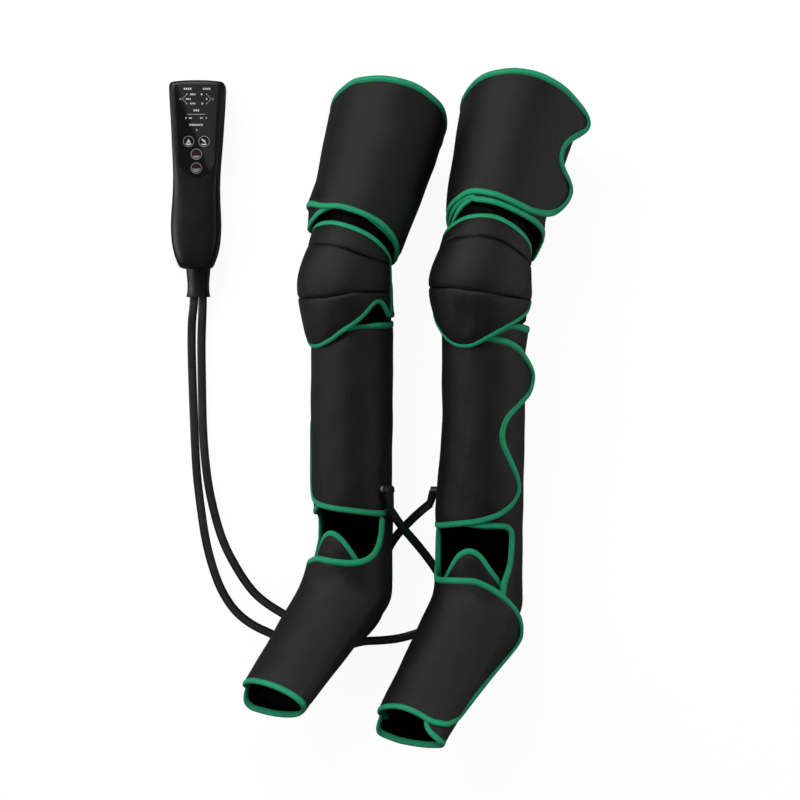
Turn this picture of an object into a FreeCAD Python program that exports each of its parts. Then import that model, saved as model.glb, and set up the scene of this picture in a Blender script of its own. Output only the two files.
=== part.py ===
import FreeCAD, Part
import Sketcher
import math
import os
from FreeCAD import Matrix, Placement, Rotation, Vector

# Air compression leg therapy set: a hand controller with its pump, two air hoses and a pair of
# wrap-round leg garments, laid flat on a table. Millimetres, +Z up from the table, +Y towards the
# thigh ends of the garments, origin under the middle of the set.

SIZES = {
    # hand controller, lying on its back
    "case_x": -222.23, "case_y": 288.95, "case_bottom": 1.5, "case_split": 24.0, "case_top": 46.0,
    "case_half_length": 117.0, "case_half_top": 35.0, "case_half_waist": 29.0, "waist_y": -5.0,
    "case_half_grip": 31.7, "grip_y": -63.0, "case_half_end": 23.0, "wall": 2.5, "case_round": 5.0,
    "panel_thick": 1.0, "panel_half_top": 27.5, "panel_half_low": 22.5, "panel_top_y": 112.5,
    "panel_low_y": 25.0, "panel_tip_y": -3.5, "key_x": 9.7, "key_row_y": 41.0, "heat_y": 25.0,
    "power_y": 7.4, "ring_radius": 7.0, "ring_bore": 6.1, "key_radius": 5.75, "key_stand": 1.2,
    "key_flange": 6.9, "key_stem": 2.2, "key_travel": 0.8, "board_top": 36.0, "board_thick": 1.6,
    "board_width": 44.0, "board_length": 112.0, "board_y": 32.0, "switch_height": 2.6,
    "boss_radius": 3.6, "screw_radius": 1.5, "boss_top_x": 26.0, "boss_top_y": 100.0,
    "boss_low_x": 16.5, "boss_low_y": -94.0, "foot_radius": 4.5,
    "motor_radius": 12.0, "motor_length": 30.0, "motor_y": 32.0, "pump_z": 17.5,
    "head_length": 18.0, "head_width": 27.0, "crank_radius": 6.0, "crank_length": 4.0,
    "valve_width": 13.0, "valve_length": 18.0, "valve_height": 14.0, "valve_x": 11.0,
    "valve_y": -52.0, "plunger_radius": 2.0, "plunger_travel": 1.0,
    "gland_z": 14.0, "hose_offset": 5.5, "inlet_bore": 2.8,
    "inlet_depth": 9.0, "inlet_z": 15.0, "inlet_radius": 5.0, "inlet_block": 12.0,
    "window_half_width": 15.0, "window_y": 54.0, "window_length": 48.0, "through": 10.0,
    "slide_fit": 0.1, "pilot_depth": 13.0, "sink_radius": 2.9, "sink_depth": 2.5,
    "screw_head": 2.7, "screw_head_height": 2.2, "screw_length": 32.0,
    "slot_width": 22.0, "slot_height": 10.0, "flange_height": 1.3, "ring_stand": 0.6,
    "chip_size": 12.0, "chip_height": 2.0, "switch_size": 6.0, "lamp_radius": 1.5,
    "lamp_height": 8.0, "lamp_y": 60.0, "lamp_pitch": 9.0,
    "nose_radius": 4.0, "nose_length": 2.0, "tail_radius": 3.0, "tail_length": 2.5,
    "shaft_radius": 1.0, "shaft_length": 16.0, "shaft_start": 8.0, "crank_start": 7.0,
    "pin_radius": 1.2, "pin_length": 4.0, "pin_throw": 2.5, "head_height": 24.0,
    "chamber_play": 1.2, "chamber_depth": 12.0, "spout_radius": 2.0, "spout_length": 5.5,
    "diaphragm_thick": 1.6, "manifold_length": 12.0, "manifold_y": -86.0,
    "manifold_width": 34.0, "manifold_height": 13.0, "tube_radius": 3.0,
    "feed_length": 4.0, "outlet_length": 22.0,
    # hoses
    "hose_radius": 3.75, "plug_radius": 6.0, "port_radius": 8.0,
    # leg garments, before the fullness factor of each leg
    "fabric": 3.0, "layer_gap": 0.35, "bladder": 4.5, "thigh_radius": 53.5, "thigh_taper": 0.0904,
    "calf_radius": 51.0, "ankle_radius": 50.0, "knee_lift": 22.0, "foot_bend": 46.0,
    "instep_half_width": 52.0, "instep_half_height": 46.0, "toe_half_width": 50.5,
    "toe_half_height": 26.0, "foot_length": 188.0, "foot_start": 380.0,
    "heel_flat": 4.0,
}

# Each leg: where its knee lies, how it is turned, and how its rims are cut.
# A rim is (height on the axis, rise towards the front, rise towards the outer side).
LEGS = {
    "right": {"outer": -1, "full": 1.0, "knee": (-31.6, 150.6, 82.82), "turn": -44.0, "pitch": 5.165,
              "roll": -0.5, "knee_bend": 22.0, "thigh_top": (214, 23, -31),
              "thigh_low": (65, 20, -3), "flap_low": (72, 20, -3), "pad_low": (-34, -36, -21),
              "pad_top": (57, 11, 0), "port_angle": -95.0, "thigh_flap": (-60, 100),
              "thigh_open": (-50, -30)},
    "left": {"outer": 1, "full": 1.035, "knee": (132.2, 150.1, 98.73), "turn": -36.0, "pitch": 7.02,
             "roll": 0.0, "knee_bend": 24.0, "thigh_top": (227, 9, 21),
             "thigh_low": (67, 20, 4), "flap_low": (84, 8, 6), "pad_low": (-36, -30, -2),
             "pad_top": (60, 14, 0), "port_angle": -65.0, "thigh_flap": (-24, 100),
             "thigh_open": (-14, 4)},
}

CALF_FLAP = (-48.0, 104.0)
CALF_OPEN = (-38.0, -18.0)
FLAP_GAP = 7.0
FOOT_HINGE = 14.0
FOOT_EDGE = -5.0
CALF_TOP = -44.0
CALF_END = -284.0
WINDOW_END = -336.0
PORT_Y = -250.0
PORT_SINK = 1.2

# Rings round the bent knee: height, half width, half depth, lift of the centre, share of the bend
KNEE_RINGS = [(84, 56.5, 55.5, 0, 1.0), (42, 59.5, 59.5, 0, 1.0), (0, 63, 63.5, 10, 0.5),
              (-36, 59.5, 61, 5, 0.0), (-84, 54.3, 54.3, 0, 0.0)]
# How far each ring is drawn in, for the skins of the cuff, the pad and the heater
CUFF_DRAW = [5.5, 9, 11.5, 18.5, 10.8]
CUFF_THICK = 2.0
CUFF_TOP = (80, 10, 0)
CUFF_END = (-66, 0, 0)
PAD_DRAW = [3.4, 5, 7, 6, 3]
HEATER_FRONT = [4, 5.6, 7.5, 6.6, 4]
HEATER_BACK = [4.8, 6.8, 8.7, 7.8, 5.2]
HEATER_LOW = (-34, -30, 20)
HEATER_SPAN = (68, 62, 80)
PAD_BACK = -16

# Rims of the calf flap, and the hollows in both wavy edges: height, distance out, angle, radius
CALF_FLAP_TOP = (-58, 2, -14)
CALF_FLAP_END = (-274, -6, 6)
THIGH_HOLLOW = (168, 70, 112, 27)
CALF_HOLLOW = (-174, 51, 108, 33)

# Stretches of the sleeves and bladders along the limb, before the fullness factor
THIGH_RANGE = (20, 275)
BLADDER_TRIM = (-14, 30)
BLADDER_SIDE = 6
CALF_BLADDER_TOP = -76
RIM_REACH = 200
HEEL_DEPTH = -470
SLEEVE_TOE, BLADDER_TOE = 186, 172
FLAP_START, FLAP_TOE = 6, 180
SLOT_HALF_WIDTH, SLOT_FRONT = 24, 36

# Moves the legs and hoses so that the whole set is centred on the origin
SET_SHIFT = Vector(5.97, -3.65, 0)

# Hose routes from the gland to the plugs: x, y, z
RIGHT_ROUTE = [
    (-233.7, 139.6, 14), (-233.7, 130, 14), (-236.5, 112, 12), (-237.5, 82, 7), (-236.5, 34, 4),
    (-234, -29, 4),
    (-231.6, -80, 4), (-227.3, -118, 4), (-220, -170, 4), (-209.5, -208.5, 4), (-199, -235, 4),
    (-182, -260.6, 4), (-159.5, -278, 4), (-135.8, -288.3, 4), (-108.6, -302.6, 4),
    (-74, -310, 4), (-45, -305.5, 4), (-20.8, -297.5, 4), (2.8, -297, 4), (26, -294.5, 4),
    (49, -288, 4), (72, -278, 4), (87, -260, 4), (88, -235, 4.5), (75, -208, 9.5),
    (57, -183, 23), (41, -163, 43), (27, -146, 66), (15.5, -127, 90)]
LEFT_ROUTE = [
    (-222.7, 139.6, 14), (-222.7, 130, 14), (-223.5, 112, 12), (-225, 82, 7), (-224.5, 34, 4),
    (-223.5, -29, 4),
    (-219.2, -80, 4), (-213, -118, 4), (-199, -170, 4), (-178.5, -208.5, 4), (-160, -235, 4),
    (-141, -251, 4), (-119, -264, 4), (-96, -281, 4), (-70, -294, 4), (-43, -290, 4),
    (-26, -276, 4), (-10, -254, 4), (0, -229.5, 4), (5.5, -204.5, 4.5), (11, -183, 7),
    (21, -165, 14.5), (37, -147, 27), (53, -131, 41), (65, -121, 52)]


# ---- document helpers ---------------------------------------------------------------------------

doc = FreeCAD.newDocument("leg_compression_set")
nodes = []


def make_sheet():
    sheet = doc.addObject("Spreadsheet::Sheet", "Sizes")
    for row, (alias, value) in enumerate(SIZES.items(), 1):
        sheet.set("A%d" % row, alias)
        sheet.set("B%d" % row, str(value))
        sheet.setAlias("B%d" % row, alias)
    doc.recompute()


def named(formula):
    """A formula with the sheet's name put before each of its aliases."""
    words = []
    word = ""
    for letter in str(formula) + " ":
        if letter.isalnum() or letter == "_" or (letter == "." and word[:1].isdigit()):
            word += letter
            continue
        words.append("Sizes." + word if word in SIZES else word)
        words.append(letter)
        word = ""
    return "".join(words).strip()


def size(formula):
    """The formula's value, for shapes made with Part's own functions."""
    return float(doc.getObject("Sizes").evalExpression(named(formula)))


def add(kind, name, base=(0, 0, 0), turn=None, **sizes):
    obj = doc.addObject(kind, name)
    obj.Placement = Placement(Vector(0, 0, 0), turn if turn else Rotation())
    for axis, value in zip("xyz", base):
        obj.setExpression(".Placement.Base." + axis, named(value))
    for prop, formula in sizes.items():
        obj.setExpression(prop, named(formula))
    return obj


def box(name, low, span, turn=None):
    return add("Part::Box", name, low, turn, Length=span[0], Width=span[1], Height=span[2])


def rod(name, base, radius, height, turn=None):
    return add("Part::Cylinder", name, base, turn, Radius=radius, Height=height)


def cut(name, body, *tools):
    result = doc.addObject("Part::Cut", name)
    result.Base = body
    result.Tool = tools[0] if len(tools) == 1 else fuse(name + "_tools", *tools)
    return result


def carve(name, body, *tools):
    """Take the tools off the body one after another, for skins that meet at shallow angles."""
    for index, tool in enumerate(tools, 1):
        body = cut(name if index == len(tools) else "%s_step_%d" % (name, index), body, tool)
    return body


def fuse(name, *shapes):
    result = doc.addObject("Part::MultiFuse", name)
    result.Shapes = list(shapes)
    return result


def common(name, *shapes):
    result = doc.addObject("Part::MultiCommon", name)
    result.Shapes = list(shapes)
    return result


def node(obj, label, place=None):
    """Give a finished sub-part its name and its place in the set."""
    obj.Label = label
    if place is None:
        for axis, alias in (("x", "case_x"), ("y", "case_y")):
            base = dict(obj.ExpressionEngine).get(".Placement.Base." + axis, "0")
            obj.setExpression(".Placement.Base." + axis, "(" + base + ") + " + named(alias))
    else:
        obj.Placement = place
    nodes.append(obj)
    return obj


ALONG_Y = Rotation(Vector(1, 0, 0), -90)


# ---- hand controller ----------------------------------------------------------------------------

def case_outline(body, name, inset, height):
    """Sketch of the controller's plan outline, drawn in by inset, at a height."""
    sketch = body.newObject("Sketcher::SketchObject", name)
    plane = [item for item in body.Origin.OriginFeatures if item.Role == "XY_Plane"][0]
    sketch.AttachmentSupport = [(plane, "")]
    sketch.MapMode = "FlatFace"
    sketch.setExpression(".AttachmentOffset.Base.z", named(height))
    stations = [("case_half_top", "case_half_length"), ("case_half_waist", "waist_y"),
                ("case_half_grip", "grip_y"), ("case_half_end", "-case_half_length")]
    side = [("(%s - %s)" % (half, inset), y) for half, y in stations]
    side[0] = (side[0][0], "(case_half_length - %s)" % inset)
    side[-1] = (side[-1][0], "(-case_half_length + %s)" % inset)
    ring = side + [("-" + half, y) for half, y in reversed(side)]
    points = [Vector(size(x), size(y), 0) for x, y in ring]
    for start, end in zip(points, points[1:] + points[:1]):
        sketch.addGeometry(Part.LineSegment(start, end), False)
    for index in range(len(ring)):
        following = (index + 1) % len(ring)
        sketch.addConstraint(Sketcher.Constraint("Coincident", index, 2, following, 1))
    for index, (x, y) in enumerate(ring):
        for kind, formula in (("DistanceX", x), ("DistanceY", y)):
            row = sketch.addConstraint(Sketcher.Constraint(kind, -1, 1, index, 1, size(formula)))
            sketch.setExpression("Constraints[%d]" % row, named(formula))
    return sketch


def upright_edges(shape):
    """Names of the edges that run straight up, corner by corner."""
    names = []
    for index, edge in enumerate(shape.Edges, 1):
        ends = [vertex.Point for vertex in edge.Vertexes]
        if len(ends) == 2 and (ends[0] - ends[1]).getAngle(Vector(0, 0, 1)) % math.pi < 0.01:
            names.append("Edge%d" % index)
    return names


def case_block(name, inset, bottom, top, corner):
    """A solid of the case outline from bottom to top with rounded upright corners."""
    body = doc.addObject("PartDesign::Body", name)
    outline = case_outline(body, name + "_outline", inset, bottom)
    pad = body.newObject("PartDesign::Pad", name + "_pad")
    pad.Profile = outline
    pad.setExpression("Length", named("(%s) - (%s)" % (top, bottom)))
    doc.recompute()
    corners = body.newObject("PartDesign::Fillet", name + "_corners")
    ends = [edge for edge in upright_edges(pad.Shape)
            if abs(abs(pad.Shape.getElement(edge).Vertexes[0].Y) - size("case_half_length")) < 9]
    corners.Base = (pad, ends)
    corners.setExpression("Radius", named(corner))
    body.Tip = corners
    doc.recompute()
    return body


def rounded_face(block, name, height, radius):
    """Round the outline edges of a block that lie at a height."""
    rounded = doc.addObject("Part::Fillet", name)
    rounded.Base = block
    level = size(height)
    edges = [index for index, edge in enumerate(block.Shape.Edges, 1)
             if all(abs(vertex.Z - level) < 0.01 for vertex in edge.Vertexes)]
    rounded.Edges = [(index, radius, radius) for index in edges]
    return rounded


def key_places():
    return [("mode", "-key_x", "key_row_y"), ("intensity", "key_x", "key_row_y"),
            ("heat", "0", "heat_y"), ("power", "0", "power_y")]


def boss_places():
    return [("top_left", "-boss_top_x", "boss_top_y"), ("top_right", "boss_top_x", "boss_top_y"),
            ("low_left", "-boss_low_x", "boss_low_y"), ("low_right", "boss_low_x", "boss_low_y")]


def panel_blank(name, bottom, top, grow):
    """Shield-shaped blank: a tapering upper part with a rounded lower end."""
    sketch = doc.addObject("Sketcher::SketchObject", name + "_outline")
    sketch.setExpression(".Placement.Base.z", named(bottom))
    ring = [("panel_half_top + %s" % grow, "panel_top_y + %s" % grow),
            ("panel_half_low + %s" % grow, "panel_low_y"),
            ("-panel_half_low - %s" % grow, "panel_low_y"),
            ("-panel_half_top - %s" % grow, "panel_top_y + %s" % grow)]
    points = [Vector(size(x), size(y), 0) for x, y in ring]
    tip = Vector(0, size("panel_tip_y - %s" % grow), 0)
    sketch.addGeometry(Part.LineSegment(points[0], points[1]), False)
    sketch.addGeometry(Part.Arc(points[1], tip, points[2]), False)
    sketch.addGeometry(Part.LineSegment(points[2], points[3]), False)
    sketch.addGeometry(Part.LineSegment(points[3], points[0]), False)
    for index in (0, 2, 3):
        for kind, formula in zip(("DistanceX", "DistanceY"), ring[index]):
            row = sketch.addConstraint(
                Sketcher.Constraint(kind, -1, 1, index, 1, size(formula)))
            sketch.setExpression("Constraints[%d]" % row, named(formula))
    blank = doc.addObject("Part::Extrusion", name)
    blank.Base = sketch
    blank.DirMode = "Normal"
    blank.Solid = True
    blank.setExpression("LengthFwd", named("(%s) - (%s)" % (top, bottom)))
    return blank


def front_shell():
    outer = case_block("front_block", "0", "case_split", "case_top", "6")
    outer = rounded_face(outer, "front_rounded", "case_top", SIZES["case_round"])
    inner = case_block("front_hollow", "wall", "case_split - 1", "case_top - wall - 1", "4")
    recess = panel_blank("panel_recess", "case_top - panel_thick", "case_top + 2", "0.2")
    window = box("display_window", ("-window_half_width", "window_y", "case_top - 8"),
                 ("2 * window_half_width", "window_length", "through"))
    holes = [rod(key + "_hole", (x, y, "case_top - 8"), "ring_bore", "through")
             for key, x, y in key_places()]
    shell = cut("front_skin", outer, inner, recess, window, *holes)
    posts = [rod("front_post_" + name, (x, y, "case_split"), "boss_radius",
                 "case_top - wall - case_split")
             for name, x, y in boss_places()]
    pilots = [rod("front_pilot_" + name, (x, y, "case_split - 1"), "screw_radius - slide_fit", "pilot_depth")
              for name, x, y in boss_places()]
    return node(cut("front_shell", fuse("front_with_posts", shell, *posts), *pilots), "front_shell")


def rear_shell():
    outer = case_block("rear_block", "0", "case_bottom", "case_split", "6")
    outer = rounded_face(outer, "rear_rounded", "case_bottom", SIZES["case_round"])
    inner = case_block("rear_hollow", "wall", "case_bottom + wall", "case_split + 1", "4")
    slot = box("gland_slot", ("-slot_width / 2", "-case_half_length - 1",
                              "gland_z - slot_height / 2"),
               ("slot_width", "wall + 2", "slot_height"))
    socket = rod("inlet_hole", ("0", "case_half_length - wall - 1", "inlet_z"),
                 "inlet_radius + slide_fit", "wall + 2", ALONG_Y)
    skin = cut("rear_skin", outer, inner, slot, socket)
    posts = [rod("rear_post_" + name, (x, y, "case_bottom"), "boss_radius",
                 "case_split - case_bottom") for name, x, y in boss_places()]
    bores = [rod("rear_bore_" + name, (x, y, "case_bottom - 1"), "screw_radius + 0.15",
                 "case_split") for name, x, y in boss_places()]
    sinks = [rod("rear_sink_" + name, (x, y, "case_bottom - 1"), "sink_radius",
                 "sink_depth + 1.5")
             for name, x, y in boss_places()]
    shell = cut("rear_shell", fuse("rear_with_posts", skin, *posts), *(bores + sinks))
    return node(shell, "rear_shell")


def control_panel():
    blank = panel_blank("panel_blank", "case_top - panel_thick", "case_top", "0")
    holes = [rod(key + "_ring_hole", (x, y, "case_top - 3"), "ring_radius + 0.1", "6")
             for key, x, y in key_places()]
    return node(cut("control_panel", blank, *holes), "control_panel")


def button_rings():
    rings = []
    for key, x, y in key_places():
        outer = rod(key + "_ring_outer", (x, y, "case_top - panel_thick"), "ring_radius",
                    "panel_thick + ring_stand")
        bore = rod(key + "_ring_bore", (x, y, "case_top - 3"), "ring_bore", "6")
        rings.append(cut(key + "_ring", outer, bore))
    return node(fuse("button_rings", *rings), "button_rings")


def buttons():
    floor = "case_top - wall - 1"
    for key, x, y in key_places():
        cap = rod(key + "_cap", (x, y, floor + " - 1.5"), "key_radius",
                  "wall + 2.5 + key_stand")
        flange = rod(key + "_flange", (x, y, floor + " - 1.5"), "key_flange", "flange_height")
        bottom = "board_top + switch_height + key_travel + 0.2"
        stem = rod(key + "_stem", (x, y, bottom), "key_stem",
                   "case_top - wall - 2.5 - (%s)" % bottom)
        node(fuse(key + "_button", cap, flange, stem), key + "_button")


def circuit_board():
    plate = box("board_plate", ("-board_width / 2", "board_y - board_length / 2",
                                "board_top - board_thick"),
                ("board_width", "board_length", "board_thick"))
    chips = [box("chip_%d" % index, ("-14", y, "board_top - board_thick - chip_height"),
                 ("chip_size", "chip_size", "chip_height"))
             for index, y in enumerate(("45", "0"))]
    node(fuse("circuit_board", plate, *chips), "circuit_board")
    switches = [box(key + "_switch", (x + " - switch_size / 2", y + " - switch_size / 2",
                                      "board_top"),
                    ("switch_size", "switch_size", "switch_height"))
                for key, x, y in key_places()]
    node(fuse("tact_switches", *switches), "tact_switches")
    lamps = [rod("lamp_%d_%d" % (row, column),
                 ("lamp_pitch * %d" % column, "lamp_y + lamp_pitch * %d" % row, "board_top"),
                 "lamp_radius", "lamp_height")
             for row in range(5) for column in (-1, 1)]
    node(fuse("indicator_lights", *lamps), "indicator_lights")


def pump():
    """Motor, crank, diaphragm head and its rubber diaphragm, in line along the case."""
    start = "motor_y - motor_length / 2"
    can = rod("motor_can", ("0", start, "pump_z"), "motor_radius", "motor_length", ALONG_Y)
    nose = rod("motor_nose", ("0", start + " - nose_length", "pump_z"), "nose_radius",
               "nose_length", ALONG_Y)
    tail = rod("motor_tail", ("0", "motor_y + motor_length / 2", "pump_z"), "tail_radius",
               "tail_length", ALONG_Y)
    shaft_hole = rod("motor_shaft_hole", ("0", start + " - nose_length - 1", "pump_z"),
                     "shaft_radius + 0.05", "12", ALONG_Y)
    node(cut("pump_motor", fuse("motor_solid", can, nose, tail), shaft_hole), "pump_motor")
    shaft = rod("crank_shaft", ("0", start + " - shaft_start", "pump_z"), "shaft_radius",
                "shaft_length", ALONG_Y)
    disc = rod("crank_disc", ("0", start + " - crank_start", "pump_z"), "crank_radius",
               "crank_length", ALONG_Y)
    pin = rod("crank_pin", ("pin_throw", start + " - crank_start - 3", "pump_z"), "pin_radius",
              "pin_length", ALONG_Y)
    node(fuse("pump_crank", shaft, disc, pin), "pump_crank")
    head_start = start + " - nose_length - head_length"
    chamber_start = start + " - nose_length - chamber_depth + 1"
    block = box("head_block", ("-head_width / 2", head_start, "pump_z - head_height / 2"),
                ("head_width", "head_length", "head_height"))
    chamber = rod("crank_chamber", ("0", chamber_start, "pump_z"),
                  "crank_radius + chamber_play", "chamber_depth", ALONG_Y)
    outlet = rod("head_outlet", ("0", head_start + " - spout_length + 0.5", "pump_z + 6"),
                 "spout_radius + 0.2", "spout_length", ALONG_Y)
    node(fuse("pump_head", cut("head_hollow", block, chamber), outlet), "pump_head")
    node(rod("pump_diaphragm", ("0", chamber_start + " + 0.02", "pump_z"),
             "crank_radius + chamber_play - 0.05", "diaphragm_thick", ALONG_Y), "pump_diaphragm")


def valves():
    """Two solenoid valves, each with a sprung plunger that opens along the case."""
    for hand, sign in (("right", "-"), ("left", "")):
        x = sign + "valve_x"
        block = box(hand + "_valve_block", (x + " - valve_width / 2", "valve_y - valve_length / 2",
                                            "case_bottom + wall"),
                    ("valve_width", "valve_length", "valve_height"))
        middle = "case_bottom + wall + valve_height / 2"
        bore = rod(hand + "_valve_bore", (x, "valve_y - 1", middle), "plunger_radius + slide_fit",
                   "valve_length", ALONG_Y)
        spout = rod(hand + "_valve_spout", (x, "valve_y - valve_length / 2 - 5", middle),
                    "spout_radius", "spout_length", ALONG_Y)
        node(fuse(hand + "_valve", cut(hand + "_valve_body", block, bore), spout),
             hand + "_valve")
        node(rod(hand + "_plunger", (x, "valve_y - 1 + plunger_travel + 0.2", middle),
                 "plunger_radius", "valve_length / 2 + 3", ALONG_Y), hand + "_valve_plunger")


def air_lines():
    """Manifold between the valves and the gland, and the short tubes that join them."""
    block = box("manifold_block", ("-manifold_width / 2", "manifold_y", "case_bottom + wall"),
                ("manifold_width", "manifold_length", "manifold_height"))
    middle = "case_bottom + wall + valve_height / 2"
    spouts = [rod("manifold_spout_%d" % index,
                  (x, "manifold_y + manifold_length - 0.5", middle), "spout_radius",
                  "spout_length - 1", ALONG_Y)
              for index, x in enumerate(("-valve_x", "valve_x"))]
    outlets = [rod("manifold_outlet_%d" % index, (x, "manifold_y - 4", "gland_z"),
                   "spout_radius", "spout_length - 1", ALONG_Y)
               for index, x in enumerate(("-hose_offset", "hose_offset"))]
    node(fuse("air_manifold", block, *(spouts + outlets)), "air_manifold")
    pieces = []
    for index, x in enumerate(("-valve_x", "valve_x")):
        start = "valve_y - valve_length / 2 - 9"
        skin = rod("feed_skin_%d" % index, (x, start, middle), "tube_radius", "feed_length",
                   ALONG_Y)
        bore = rod("feed_bore_%d" % index, (x, start + " - 1", middle), "spout_radius + 0.02",
                   "feed_length + 4", ALONG_Y)
        pieces.append(cut("feed_tube_%d" % index, skin, bore))
    for index, x in enumerate(("-hose_offset", "hose_offset")):
        start = "-case_half_length + wall + 3"
        skin = rod("outlet_skin_%d" % index, (x, start, "gland_z"), "tube_radius",
                   "outlet_length", ALONG_Y)
        bore = rod("outlet_bore_%d" % index, (x, start + " - 1", "gland_z"),
                   "spout_radius + 0.02", "outlet_length + 4", ALONG_Y)
        pieces.append(cut("outlet_tube_%d" % index, skin, bore))
    node(fuse("air_tubes", *pieces), "air_tubes")


# Rings of the strain relief: distance below the case, half width, half height
GLAND_RINGS = [(0, 15.5, 10.5), (14, 14.2, 9.2), (28, 14.0, 8.6), (36, 15.4, 9.0)]


def hose_gland():
    """Rubber strain relief: a waisted sleeve outside, a neck through the wall, a flange inside."""
    rings = []
    for index, (y, half_width, half_height) in enumerate(GLAND_RINGS):
        ring = add("Part::Ellipse", "gland_ring_%d" % index,
                   ("0", "-case_half_length - %s" % y, "gland_z"),
                   Rotation(Vector(1, 0, 0), 90), MajorRadius=half_width, MinorRadius=half_height)
        rings.append(ring)
    sleeve = doc.addObject("Part::Loft", "gland_sleeve")
    sleeve.Sections = rings
    sleeve.Solid = True
    neck_width = "slot_width - 0.4"
    neck_height = "slot_height - 0.4"
    neck = box("gland_neck", ("-(%s) / 2" % neck_width, "-case_half_length - 0.1",
                              "gland_z - (%s) / 2" % neck_height),
               (neck_width, "wall + 0.2", neck_height))
    flange = box("gland_flange", ("-13", "-case_half_length + wall", "gland_z - 7"),
                 ("26", "2", "14"))
    bores = [rod("gland_bore_%d" % index, (x, "-case_half_length - 2", "gland_z"), "2.5",
                 "8", ALONG_Y) for index, x in enumerate(("-hose_offset", "hose_offset"))]
    node(cut("hose_gland", fuse("gland_solid", sleeve, neck, flange), *bores), "hose_gland")


def dc_inlet():
    barrel = rod("inlet_barrel", ("0", "case_half_length - inlet_depth - 3", "inlet_z"),
                 "inlet_radius", "inlet_depth + 3", ALONG_Y)
    block = box("inlet_body", ("-inlet_block / 2", "case_half_length - wall - inlet_block",
                               "inlet_z - inlet_block / 2"),
                ("inlet_block", "inlet_block - slide_fit", "inlet_block"))
    bore = rod("inlet_bore_tool", ("0", "case_half_length - inlet_depth", "inlet_z"),
               "inlet_bore", "inlet_depth + 2", ALONG_Y)
    node(cut("dc_inlet", fuse("inlet_solid", barrel, block), bore), "dc_inlet")


def case_screws():
    screws = []
    for name, x, y in boss_places():
        head = rod("screw_head_" + name, (x, y, "case_bottom + 0.8"), "screw_head",
                   "screw_head_height")
        shank = rod("screw_shank_" + name, (x, y, "case_bottom + 2"), "screw_radius",
                    "screw_length")
        screws.append(fuse("screw_" + name, head, shank))
    node(fuse("case_screws", *screws), "case_screws")


def rubber_feet():
    places = [("-22", "86"), ("22", "86"), ("-14", "-78"), ("14", "-78")]
    feet = [rod("foot_%d" % index, (x, y, "0"), "foot_radius", "case_bottom")
            for index, (x, y) in enumerate(places)]
    node(fuse("rubber_feet", *feet), "rubber_feet")


# ---- leg garments -------------------------------------------------------------------------------

def axis_frame(bend, base, spin=0.0):
    """Frame whose Z runs up a limb axis bent back by an angle, and whose X faces the front."""
    lean = math.radians(bend)
    front = Vector(0, math.sin(lean), math.cos(lean))
    up = Vector(0, math.cos(lean), -math.sin(lean))
    across = Vector(1, 0, 0)
    matrix = Matrix(front.x, across.x, up.x, 0, front.y, across.y, up.y, 0,
                    front.z, across.z, up.z, 0, 0, 0, 0, 1)
    turn = Rotation(matrix).multiply(Rotation(Vector(0, 0, 1), spin))
    return Placement(Vector(*base), turn)


def leg_place(leg):
    turn = Rotation(Vector(0, 0, 1), leg["roll"])
    turn = turn.multiply(Rotation(Vector(1, 0, 0), leg["pitch"]))
    turn = turn.multiply(Rotation(Vector(0, 1, 0), leg["turn"]))
    return Placement(Vector(*leg["knee"]) + SET_SHIFT, turn)


def sector(leg, angles):
    """Start and sweep, about the limb axis, of a stretch given from front towards outer side."""
    first, last = angles
    return (first, last - first) if leg["outer"] > 0 else (-last, last - first)


def cone_sector(name, frame, low, high, inset, leg, angles):
    """Solid cone sector from axis height low to high whose skin is drawn in by inset."""
    start, sweep = sector(leg, angles)
    turn = frame.Rotation.multiply(Rotation(Vector(0, 0, 1), start))
    base = frame.multVec(Vector(0, 0, low))
    cone = add("Part::Cone", name, (base.x, base.y, base.z), turn, Angle=sweep)
    cone.setExpression("Height", named("%s - %s" % (high, low)))
    factor = leg["full"]
    for prop, height in (("Radius1", low), ("Radius2", high)):
        formula = "%s * (thigh_radius + thigh_taper * %s) - (%s)" % (factor, height / factor, inset)
        cone.setExpression(prop, named(formula))
    return cone


def rod_sector(name, frame, low, high, radius, leg, angles):
    start, sweep = sector(leg, angles)
    turn = frame.Rotation.multiply(Rotation(Vector(0, 0, 1), start))
    base = frame.multVec(Vector(0, 0, low))
    return add("Part::Cylinder", name, (base.x, base.y, base.z), turn, Radius=radius,
               Height="%s - %s" % (high, low), Angle=sweep)


def rim_block(name, leg, frame, rim, radius, above):
    """Large block that trims a sleeve along a slanted rim."""
    height, rise_front, rise_outer = [value * leg["full"] for value in rim]
    normal = Vector(-rise_front / radius, -leg["outer"] * rise_outer / radius, 1)
    tilt = Rotation(Vector(0, 0, 1), normal)
    turn = frame.Rotation.multiply(tilt)
    corner = Vector(-RIM_REACH, -RIM_REACH, 0 if above else -RIM_REACH)
    base = frame.multVec(Vector(0, 0, height) + tilt.multVec(corner))
    return box(name, (base.x, base.y, base.z), (2 * RIM_REACH, 2 * RIM_REACH, RIM_REACH), turn)


def shifted(rim, height):
    """The same rim moved along the limb axis."""
    return (rim[0] + height,) + rim[1:]


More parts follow.
